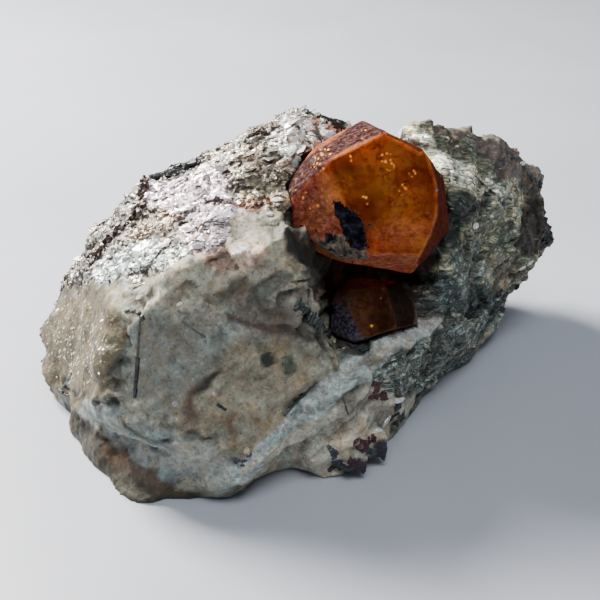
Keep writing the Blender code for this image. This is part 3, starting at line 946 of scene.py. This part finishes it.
def across(normal, toward):
    """Two directions across a normal: the one nearest to toward, and the one at right angles to it."""
    first = toward - normal * toward.dot(normal)
    if first.length < 1e-6:
        first = normal.orthogonal()
    first.normalize()
    return first, normal.cross(first)


def leaning(rng, normal, spread):
    """A direction near normal, thrown off it by up to about spread."""
    return (normal + Vector([rng.gauss(0.0, spread) for _ in range(3)])).normalized()


def turned(normal, degrees):
    """The direction across a normal that lies at a turn in the photograph."""
    angle = math.radians(degrees)
    shown = Vector(np.array((math.cos(angle), 0.0, 0.0)) + math.sin(angle) * UPWARD)
    return across(normal, shown)[0]


def plate(heap, rng, centre, normal, toward, size, corners=6, own=None, sink=0.3, tint=(1.0, 1.0, 1.0)):
    """An irregular plate, sunk by a share of its thickness."""
    half_long, half_wide, thick = size
    first, second = across(normal, toward)
    turns = sorted(rng.uniform(-0.35, 0.35) + k for k in range(corners))
    loop = []
    for turn in turns:
        angle = 2 * math.pi * turn / corners
        reach = rng.uniform(0.75, 1.1)
        bend = rng.uniform(-0.4, 0.4) * thick
        loop.append(first * (half_long * reach * math.cos(angle)) +
                    second * (half_wide * reach * math.sin(angle)) + normal * bend)
    low = centre - normal * (sink * thick)
    high = low + normal * thick
    shade = rng.random() if own is None else own
    heap.solid([low + c for c in loop], [high + c * 0.94 for c in loop], shade, tint)


def prism(heap, start, end, reach, normal, own):
    """A prism of six sides from start to end, where it is a little narrower."""
    first, second = across((end - start).normalized(), normal)
    angles = [2 * math.pi * (k + 0.5) / 6 for k in range(6)]
    loop = [first * (reach * math.cos(angle)) + second * (reach * math.sin(angle)) for angle in angles]
    heap.solid([start + c for c in loop], [end + c * 0.85 for c in loop], own)


class Ground:
    """The rock's surface, with what it is made of, to find places on it."""

    def __init__(self, rock, skin, kinds, colour):
        self.tree = tree_of(rock, skin)
        mesh = rock.data
        mesh.calc_loop_triangles()
        places, _ = arrays(mesh)
        corners = np.empty(len(mesh.loop_triangles) * 3, np.int32)
        mesh.loop_triangles.foreach_get("vertices", corners)
        corners = corners.reshape(-1, 3)
        self.a, self.b, self.c = (places[corners[:, k]] for k in range(3))
        cross = np.cross(self.b - self.a, self.c - self.a)
        self.area = np.linalg.norm(cross, axis=1) / 2
        self.normal = cross / np.maximum(2 * self.area, 1e-12)[:, None]
        self.middle = (self.a + self.b + self.c) / 3
        self.tint = colour[corners].mean(axis=1)
        self.kinds = {kind: values[corners].mean(axis=1) for kind, values in kinds.items()}

    def spot(self, pixel):
        """The place that the camera sees at a pixel, or the nearest of the rock to that line of sight."""
        line = sight(pixel)
        spot, normal, _, _ = self.tree.ray_cast(Vector(EYE), line)
        if spot is not None:
            return spot, normal
        steps = [self.tree.find_nearest(Vector(EYE) + line * far) for far in range(*BESIDE_THE_ROCK)]
        spot, normal, _, _ = min(steps, key=lambda found: found[3])
        return spot, normal

    def scatter(self, seed, count, weight):
        """count places on the surface, with their normals and colours, each as likely as its weight."""
        rng = np.random.default_rng(seed)
        chance = self.area * weight * (self.middle[:, 2] > LOWEST_SCATTER)
        chosen = rng.choice(len(chance), size=count, p=chance / chance.sum())
        u, v = rng.random(count), rng.random(count)
        flip = u + v > 1
        u[flip], v[flip] = 1 - u[flip], 1 - v[flip]
        spots = self.a[chosen]
        spots = spots + u[:, None] * (self.b - self.a)[chosen] + v[:, None] * (self.c - self.a)[chosen]
        return [(Vector(s), Vector(n), t) for s, n, t in zip(spots, self.normal[chosen], self.tint[chosen])]

    def within(self, outline, edge):
        """How much each triangle lies inside an outline, as seen by the camera."""
        shown = facing(self.middle, self.normal) > 0.0
        return smoothstep(-edge, edge, inside(seen(self.middle), outline)) * shown


# ---------------------------------------------------------------- what lies where
# Widths, lengths and radii here are in pixels, and turns in degrees from the picture's right, anticlockwise.
# own is a piece's shade, from the darkest of its material at 0 to the palest at 1.
LOWEST_SCATTER = 0.8  # millimetres above the floor
BESIDE_THE_ROCK = (80, 130)  # millimetres from the camera between which the rock lies
MICA_PLATES = 1000
FACET_GLINTS = 650
GLINTS_ON_FACET = "46,330 60,306 84,302 108,318 112,346 100,372 76,380 50,372"
NEEDLE_STEP = 7  # pixels between the places at which a long needle is laid on the rock
NEEDLES = {  # both ends, width, own
    "main_upper": ("140,320 137.5,356", 2.6, 0.5),
    "main_lower": ("138,358 135,396", 4.6, 0.02),
    "vein_edge": ("284,414 316,382", 4.0, 0.2),
    "faint": ("182,322 205,337", 2.0, 0.6),
    "dash": ("291,282 309,280", 2.6, 0.05),
    "right_upper": ("470,172 499,198", 2.0, 0.05),
    "right_lower": ("466,174 490,196", 1.6, 0.3),
    "tip": ("72,374 61,391", 3.4, 0.2),
    "under_garnet": ("382,367 413,352", 2.4, 0.1),
    "rim_left": ("368,342 392,333", 3.0, 0.02),
    "rim_right": ("390,334 412,323", 3.0, 0.02),
    "speck": ("217,404 226,410", 3.0, 0.1),
    "sliver": ("343,398 348,414", 1.8, 0.3),
    "slot": ("470,236 479,233", 3.0, 0.0),
}
BUNDLES = {  # the line they lie on, how many prisms, how long and wide they are, their turn, own
    "black_ridge": ("152,178 200,160", 30, 11, 5.5, 22, 0.0),
    "crest": ("314,114 342,126", 20, 9, 3.2, -24, 0.05),
    "cluster_left": ("296,302 332,338", 44, 11, 5.0, 60, 0.10),
    "cluster_low": ("334,344 366,350", 18, 9, 4.5, 20, 0.05),
    "book": ("526,172 540,184", 8, 13, 4.0, -60, 0.05),
    "needle_top": ("128,309 144,317", 9, 5, 4.5, 10, 0.10),
    "dark_band": ("460,312 500,292", 30, 12, 4.5, 25, 0.05),
    "tip_end": ("538,230 552,244", 12, 9, 4.5, 40, 0.0),
    "tip_left": ("56,386 68,396", 5, 8, 5.0, 20, 0.0),
    "low_dark": ("392,412 402,422", 5, 8, 7.0, 30, 0.0),
    "foot_dark": ("330,462 352,468", 12, 9, 5.0, 30, 0.15),
}
BLOCK_CHAIN = "148,180 142,190 143,205 128,222 115,233 103,246 90,259"
BLOCKS_IN_CHAIN = 60
CHIP_LAYERS = 3
CHIPS = {  # place, length, width, turn, own
    "white_a": (277, 200, 13, 6, 10, 0.75),
    "white_b": (240, 250, 18, 7, 20, 0.70),
    "white_c": (269, 214, 9, 5, 5, 0.78),
    "lilac_a": (192, 230, 15, 9, -20, 0.76),
    "lilac_b": (204, 238, 14, 9, 15, 0.78),
    "lilac_c": (198, 246, 15, 7, 10, 0.72),
    "straw": (222, 168, 9, 17, 75, 0.45),
    "peach": (149, 290, 14, 5, 42, 0.92),
    "peach_under": (140, 297, 10, 5, 25, 0.60),
    "vein_white": (385, 422, 19, 6, 38, 0.70),
    "vein_white_low": (378, 432, 12, 4, 30, 0.66),
    "pale_right": (398, 400, 16, 7, 15, 0.45),
    "green_white": (402, 134, 18, 8, 15, 0.66),
    "silver_right": (522, 163, 13, 5, -30, 0.66),
    "white_ridge": (456, 147, 6, 3, 20, 0.75),
    "patch_right": (475, 226, 12, 8, 10, 0.45),
    "rim_right_a": (522, 268, 10, 3, 35, 0.66),
    "rim_right_b": (530, 263, 9, 3, 35, 0.60),
    "green_chip": (180, 304, 8, 4, 30, 0.66),
}
GRAIN_FLATNESS = 0.55
GRAIN_SUNK = 0.30
GRAINS = {  # colour, roughness, how many grow at each spot, spots
    "rose": ((0.34, 0.25, 0.21), 0.55, 1, "222,459,6 344,346,4.5 411,314,6.5"),
    "straw": (
        (0.4, 0.33, 0.2), 0.5, 1,
        "245,452,5 202,464,3 335,341,4 415,291,3.6 258,242,4 149,303,3.5"),
    "chalk": (
        (0.32, 0.31, 0.32), 0.5, 1,
        "212,466,3 175,404,5.5 215,394,4 166,312,3.5 316,384,2.5"),
    "rust": ((0.28, 0.08, 0.025), 0.6, 1, "243,207,2.5 126,332,3"),
    "garnet": (
        (0.05, 0.014, 0.02), 0.3, 6,
        "377,388,4.5 383,396,4 372,396,3.5 362,444,6 354,462,5 336,466,4.5 370,440,4"),
    "slate": (
        (0.035, 0.042, 0.058), 0.3, 4,
        "340,458,6 332,450,4.5 366,452,5 396,416,6.5 249,457,4 243,462,3 235,463,2.5 501,164,3.5 "
        "502,203,4.5 330,448,2"),
}
LATHS = {"laths_dark": (5, 800), "laths_pale": (6, 60)}  # seed, how many


def mica_plates(surface, look):
    """Flakes of mica strewn over the micaceous parts, and tiny ones that glint on the facet at the left."""
    rng = random.Random(7)
    heap = Heap()
    grain = Vector(MICA_GRAIN)
    weight = surface.kinds["mica"] ** 2.5 * (0.25 + surface.tint.mean(axis=1))
    for spot, normal, tint in surface.scatter(1, MICA_PLATES, weight):
        size = 0.12 + 0.42 * rng.random() ** 2.5
        lean = leaning(rng, (normal * 0.9 + Vector(BED) * 0.3).normalized(), 0.11)
        toward = leaning(rng, grain, 0.35)
        corners = rng.choice((4, 5, 5, 6))
        shape = (size * rng.uniform(1.2, 2.2), size, 0.03)
        plate(heap, rng, spot + normal * 0.05, lean, toward, shape, corners, tint=tint)
    weight = surface.within(REGIONS["facet"].outline, 8.0) * surface.within(GLINTS_ON_FACET, 16.0)
    for spot, normal, _ in surface.scatter(2, FACET_GLINTS, weight):
        size = 0.03 + 0.12 * rng.random() ** 2.5
        plate(heap, rng, spot, leaning(rng, normal, 0.10), grain, (size * 1.8, size, 0.03),
              own=rng.uniform(0.10, 0.80), tint=(0.85, 0.74, 0.62))
    heap.piece("mica_plates", look, "schist")


def needles(surface, look):
    """Single needles, each laid along the rock in short lengths."""
    heap = Heap()
    for ends, width, own in NEEDLES.values():
        start, end = rows(ends)
        steps = max(1, round(math.dist(start, end) / NEEDLE_STEP))
        line = [[a + k / steps * (b - a) for a, b in zip(start, end)] for k in range(steps + 1)]
        found = [surface.spot(pixel) for pixel in line]
        for (a, normal), (b, _) in zip(found, found[1:]):
            prism(heap, a, b + (b - a) * 0.1, 0.5 * width * PIXEL, normal, own)
    heap.piece("needles", look, "schist")


def bundles(surface, look):
    """Bundles of dark prisms, each lying along the rock."""
    rng = random.Random(11)
    heap = Heap()
    for line, count, long, wide, turn, own in BUNDLES.values():
        for _ in range(count):
            share = rng.random()
            pixel = [a + share * (b - a) + rng.gauss(0.0, 0.25 * wide) for a, b in zip(*rows(line))]
            spot, normal = surface.spot(pixel)
            along = leaning(rng, turned(normal, turn + rng.gauss(0.0, 8.0)), 0.08)
            half = along * (0.5 * long * PIXEL * rng.uniform(0.4, 1.1))
            reach = 0.5 * wide * PIXEL * rng.uniform(0.5, 1.0)
            middle = spot + normal * (reach * rng.uniform(-0.4, 0.5))
            prism(heap, middle - half, middle + half, reach, normal, own + 0.15 * rng.random())
    heap.piece("amphibole_bundles", look, "schist")


def block_chain(surface, look):
    """The dark broken blocks along the crease of the slope."""
    rng = random.Random(13)
    heap = Heap()
    chain = rows(BLOCK_CHAIN)
    for _ in range(BLOCKS_IN_CHAIN):
        along = rng.random() * (len(chain) - 1)
        k, share = int(along), along % 1.0
        pixel = [a + share * (b - a) + rng.gauss(0.0, 2.0) for a, b in zip(chain[k], chain[k + 1])]
        spot, normal = surface.spot(pixel)
        size = PIXEL * rng.uniform(1.3, 3.6)
        lean = leaning(rng, normal, 0.3)
        toward = turned(normal, 50 + rng.gauss(0, 25))
        plate(heap, rng, spot + normal * 0.05, lean, toward, (size * 1.3, size * 0.7, size * 0.9), 5)
    heap.piece("dark_blocks", look, "schist")


def chips(surface, look):
    """Single large flakes, each of a few thin layers."""
    rng = random.Random(17)
    heap = Heap()
    for x, y, long, wide, turn, own in CHIPS.values():
        spot, normal = surface.spot((x, y))
        for layer in range(CHIP_LAYERS):
            lift = normal * (0.05 + 0.05 * layer)
            size = (0.5 - 0.06 * layer) * PIXEL
            plate(heap, rng, spot + lift, leaning(rng, normal, 0.05), turned(normal, turn),
                  (size * long, size * wide, 0.05), 7, own)
    heap.piece("large_flakes", look, "schist")


def rhombic_faces(corners):
    """The four corners of each of the twelve faces, in order round it."""
    faces = []
    steps = (-1, 0, 1)
    axes = [Vector((a, b, c)) for a in steps for b in steps for c in steps if abs(a) + abs(b) + abs(c) == 2]
    for normal in axes:
        on = [k for k, corner in enumerate(corners) if abs(Vector(corner).dot(normal) - 2.0) < 1e-6]
        middle = sum((Vector(corners[k]) for k in on), Vector()) / len(on)
        first = (Vector(corners[on[0]]) - middle).normalized()
        second = normal.normalized().cross(first)
        from_middle = {k: Vector(corners[k]) - middle for k in on}
        on.sort(key=lambda k: math.atan2(from_middle[k].dot(second), from_middle[k].dot(first)))
        faces.append(tuple(on))
    return faces


RHOMBIC_CORNERS = [(a, b, c) for a in (-1, 1) for b in (-1, 1) for c in (-1, 1)]
RHOMBIC_CORNERS += [tuple(2 * s * (k == axis) for k in range(3)) for axis in range(3) for s in (-1, 1)]
RHOMBIC_FACES = rhombic_faces(RHOMBIC_CORNERS)


def stone(heap, rng, centre, reach, normal):
    """A small crystal of twelve rhombs, worn out of true."""
    first, second = across(normal, leaning(rng, normal.orthogonal(), 0.5))
    turn = Matrix((first, second, normal)).transposed()
    first_index = len(heap.spots)
    for x, y, z in RHOMBIC_CORNERS:
        worn = Vector((x, y, z * GRAIN_FLATNESS)) * (reach * rng.uniform(0.65, 1.15) / 1.5)
        heap.spots.append(tuple(centre + turn @ worn))
    heap.faces += [tuple(first_index + k for k in face) for face in RHOMBIC_FACES]
    heap.own += [rng.random()] * len(RHOMBIC_CORNERS)


def grains(surface):
    """Grains set in the rock, one piece for each kind: worn round one by one, or sharp in clusters."""
    rng = random.Random(19)
    for kind, (colour, rough, count, spots) in GRAINS.items():
        heap = Heap()
        clustered = count > 1
        for x, y, radius in rows(spots):
            for _ in range(count):
                near = [c + clustered * rng.gauss(0.0, 0.6 * radius) for c in (x, y)]
                spot, normal = surface.spot(near)
                reach = 1.25 * radius * PIXEL * (rng.uniform(0.45, 0.95) if clustered else 1.0)
                stone(heap, rng, spot - normal * (GRAIN_SUNK * reach), reach, normal)
        made = heap.piece("grains_" + kind, grain_look("grain_" + kind, colour, rough), "schist")
        if not clustered:
            made.modifiers.new("worn", "SUBSURF").levels = 2
            apply_modifiers(made)


def laths(surface, looks):
    """Thin blades lying in the fibrous parts of the rock, most of them dark and some pale."""
    rng = random.Random(23)
    fibre = surface.kinds["fibre"] ** 2
    for (name, (seed, count)), look in zip(LATHS.items(), looks):
        heap = Heap()
        for spot, normal, _ in surface.scatter(seed, count, fibre):
            bend = noise.noise(spot / 4.0) + rng.gauss(0.0, 0.22)
            along = Matrix.Rotation(bend, 3, normal) @ across(normal, Vector(FIBRES))[0]
            long, wide = 0.2 + 0.5 * rng.random() ** 2, rng.uniform(0.05, 0.11)
            plate(heap, rng, spot, leaning(rng, normal, 0.10), along, (long, wide, 0.05), sink=0.5)
        heap.piece(name, look, "schist")


# ---------------------------------------------------------------- the garnets
GARNET_SMOOTHING = 13
GARNET_WORN = 0.05  # how much of a garnet has worn off all over it
STRIAE = (0.7, 0.2, 0.7)  # the direction in which its striae run
# How far each side of its outline a mark fades, in pixels
MARK_EDGES = {"etched": 4.0, "hazed": 10.0, "crust": 7.0, "remnant_and_glints": 9.0, "dim": 3.0}
LARGE_MARKS = {
    "etched": [
        "280,196 292,166 316,148 338,134 358,116 394,130 371,140 349,149 331,160 320,172 304,184 288,200",
    ],
    "hazed": [
        "344,250 380,250 412,252 424,262 406,276 386,276 358,268 336,260",
        "285,196 300,186 320,175 330,192 338,205 342,222 344,240 318,252 296,242 284,226",
        "372,226 400,214 432,222 426,250 372,252",
    ],
    "dim": [
        "424,146 450,160 455,236 424,276 416,264 430,236 437,215 436,185",
        "386,131 410,138 426,150 420,154 404,144 386,136",
    ],
    "crust": [
        "332,199 341,202 347,209 356,213 364,222 366,234 369,248 358,250 348,244 342,233 339,222 334,210",
        "325,234 332,232 337,238 328,242",
    ],
    "remnant_and_glints": ["318,240 330,234 342,236 352,244 364,248 368,256 360,261 344,259 328,254 319,247"],
    "specks": "406,182,1.6 404,185,1.3 390,187,1.6 405,196,1.5 371,225,2.2 316,231,1.4 301,226,1.4 "
              "372,176,1 352,262,1.3 345,255,2 330,250,1.6",
    # glints: grey spots that the key light turns white, painted highlights carried with the rock left on the
    # garnet
    "glints": "313,160,3.2 296,180,1.8 303,175,1.5 289,191,1.8 322,149,1.4 362,131,1.6 381,133,1.3 "
              "346,143,1.2 437,190,1.2 441,176,1.2 428,213,1.4",
    # sparks: where golden spots of painted reflection lie
    "sparks": "386,158,5 390,166,4 413,173,3.5 404,189,6 365,200,4.5 306,197,5 314,206,4.5 325,152,5 "
              "314,162,5 322,170,3.5 364,134,4 427,212,2.5 347,158,5 296,190,3 420,222,3",
    # painted glow: spots where the body is coloured lighter, as if lit from behind
    "glow": "382,158,26 404,200,24 340,190,16 310,248,12",
}
SMALL_MARKS = {
    "etched": ["326,300 338,304 352,322 368,334 372,346 340,346 326,330"],
    "hazed": ["340,296 352,290 362,320 350,334 336,318"],
    "dim": ["384,284 402,280 418,300 414,326 396,330 390,306"],
    "crust": ["329,306 334,304 336,312 331,316"],
    "remnant_and_glints": ["331,334 338,330 346,340 338,345"],
    "specks": "352,318,1.6 378,310,1.3",
    "glints": "381,298,1.6 386,302,1.3",
    "sparks": "360,305,1.6 371,326,2.4 350,297,1.4",
    "glow": "366,308,16 372,326,8",
}


def shares_of(places, normals, outlines, edge):
    """How far each place lies inside any of the outlines, from 0 to 1, where it faces the camera."""
    pixels = seen(places)
    shares = [smoothstep(-edge, edge, inside(pixels, outline)) for outline in outlines]
    return np.max(shares, axis=0) * (facing(places, normals) > 0)


def spots_of(places, normals, spots):
    """How near each place is to any of some spots, from 0 to 1, where it faces the camera."""
    pixels = seen(places)
    near = [np.exp(-((pixels - (x, y)) ** 2).sum(axis=1) / (2 * size ** 2)) for x, y, size in rows(spots)]
    return np.max(near, axis=0) * (facing(places, normals) > 0)


def garnet_values(places, normals, front, marks, shift):
    """How hazed or etched each place of a garnet is, and how much it is of each of its other marks."""
    aside = 1.0 - smoothstep(0.88, 0.98, normals @ unit(front) + 0.04 * waves(places, 1.2, shift, 2))
    pitted = smoothstep(0.1, 0.5, waves(places, 1.5, shift + 9, 3))
    inside_of = {mark: shares_of(places, normals, marks[mark], edge) for mark, edge in MARK_EDGES.items()}
    near = {mark: spots_of(places, normals, marks[mark]) for mark in ("specks", "glints", "sparks", "glow")}
    frost = 0.30 * aside + 0.62 * inside_of["etched"] + 0.40 * inside_of["hazed"] + 0.06 * pitted
    return {
        "frost": np.clip(frost, 0.0, 1.0),
        "crust": np.maximum(inside_of["crust"], 0.75 * near["specks"]),
        # the rock left on the garnet, with the grey spots of painted glints
        "remnant_and_glints": np.maximum(inside_of["remnant_and_glints"], 0.8 * near["glints"]),
        "spark": near["sparks"],
        "glow": near["glow"],
        "dim": inside_of["dim"],
    }


def make_garnet(node, name, front, marks, look, shift):
    """A garnet in place of its CAD crystal. Its front is the direction in which its clearest face looks."""
    crystal = refined(node, name, GARNET_GRID, GARNET_SMOOTHING)
    places, normals = arrays(crystal.data)
    values = garnet_values(places, normals, front, marks, shift)
    striae = waves(swirled(places, STRIAE, 8.0, 0.2), 0.5, shift + 3)
    wear = 0.06 * waves(places, 2.0, shift, 2) + 0.012 * waves(places, 0.6, shift + 5, 2)
    wear += 0.015 * values["frost"] * striae
    caked = np.maximum(values["crust"], values["remnant_and_glints"])
    wear += 0.16 * caked * (0.7 + 0.8 * waves(places, 0.6, shift + 13, 3))
    set_places(crystal.data, places + normals * (wear - GARNET_WORN)[:, None])
    for mark, shares in values.items():
        set_values(crystal.data, mark, shares)
    crystal.data.materials.append(look)
    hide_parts(node)
    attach(crystal, "root")
    return crystal


# ---------------------------------------------------------------- the studio
MIDDLE = (0, 0, 12)  # what the lamps shine on
SKY = (0.80, 0.87, 1.0, 1.0)
SKY_STRENGTH = 0.20
FLOOR_REACH = 1.5  # metres from the middle to each side
FLOOR_GAP = 0.02 * MM  # how far the floor lies under the object


def area_light(name, place, size, power, colour):
    """A lamp that shines on the object. Its place and size are in millimetres, and its power in watts."""
    data = bpy.data.lights.new(name, "AREA")
    data.shape = "RECTANGLE"
    data.size, data.size_y = (s * MM for s in size)
    data.energy = power
    data.color = colour
    lamp = added(name, data)
    lamp.location = Vector(place) * MM
    lamp.rotation_euler = (Vector(place) - Vector(MIDDLE)).to_track_quat("Z", "Y").to_euler()


def make_floor():
    """A plain pale floor just under the object."""
    mesh = bpy.data.meshes.new("floor")
    far = FLOOR_REACH
    mesh.from_pydata([(-far, -far, 0), (far, -far, 0), (far, far, 0), (-far, far, 0)], [], [(0, 1, 2, 3)])
    floor = added("floor", mesh)
    floor.location.z = -FLOOR_GAP
    look = Look("pale_floor")
    tone = look.ramp(look.noise(30.0, 2.0), (0.3, (0.37, 0.39, 0.44)), (0.7, (0.41, 0.43, 0.48)))
    look.feed("Base Color", tone)
    look.set(roughness=0.42)
    mesh.materials.append(look.material)


def make_studio():
    world = bpy.data.worlds.new("studio")
    world.use_nodes = True
    background = world.node_tree.nodes["Background"]
    background.inputs["Color"].default_value = SKY
    background.inputs["Strength"].default_value = SKY_STRENGTH
    bpy.context.scene.world = world
    area_light("key", (-150, 110, 170), (90, 90), 3.3, (1.0, 0.96, 0.90))
    area_light("overhead", (30, -90, 260), (160, 120), 0.55, (0.92, 0.96, 1.0))
    make_floor()


def make_camera():
    data = bpy.data.cameras.new("camera")
    data.sensor_width = SENSOR
    data.lens = SENSOR * FOCAL / FRAME_SIDE
    data.clip_start = 1 * MM
    data.clip_end = 10.0
    camera = added("camera", data)
    camera.location = Vector(EYE) * MM
    camera.rotation_euler = (-Vector(AHEAD)).to_track_quat("Z", "Y").to_euler()
    bpy.context.scene.camera = camera


def main():
    make_camera()
    make_studio()
    amber = garnet_look("amber_garnet", deep=(0.56, 0.080, 0.014), light=(1.0, 0.35, 0.058),
                        hazed=(0.25, 0.098, 0.086), etched=(0.066, 0.031, 0.028),
                        shaded=(0.085, 0.023, 0.014), absorbed=(0.99, 0.47, 0.09), density=85.0,
                        clear=0.95, rough=0.06)
    # the lower garnet: darker than the large one, partly its own brown and partly painted shade under the
    # large garnet
    brown = garnet_look("brown_shaded_garnet", deep=(0.12, 0.045, 0.032), light=(0.34, 0.14, 0.060),
                        hazed=(0.110, 0.085, 0.100), etched=(0.080, 0.066, 0.092),
                        shaded=(0.020, 0.012, 0.010), absorbed=(0.88, 0.64, 0.30), density=230.0,
                        clear=0.9, rough=0.10)
    large = make_garnet("garnet_main", "garnet_main_crystal", (0.06, -0.89, 0.45), LARGE_MARKS, amber,
                        1.0)
    small = make_garnet("garnet_lower", "garnet_lower_crystal", (-0.08, -0.85, 0.5), SMALL_MARKS, brown,
                        2.0)
    rock, kinds, colour = make_rock([tree_of(large), tree_of(small)])
    rock.data.materials.append(rock_look())
    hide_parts("matrix")
    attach(rock, "root")
    skin = make_mica_skin(rock, kinds)
    skin.data.materials.append(skin_look())
    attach(skin, "root")

    surface = Ground(rock, skin, kinds, colour)
    flakes = flake_look()
    dark = blade_look("amphibole", (0.010, 0.013, 0.016), (0.10, 0.13, 0.10))
    biotite = blade_look("biotite", (0.008, 0.006, 0.006), (0.075, 0.036, 0.020))
    pale = blade_look("pale_amphibole", (0.10, 0.115, 0.085), (0.30, 0.32, 0.26))
    mica_plates(surface, flakes)
    needles(surface, dark)
    bundles(surface, dark)
    block_chain(surface, biotite)
    chips(surface, flakes)
    grains(surface)
    laths(surface, (dark, pale))


main()
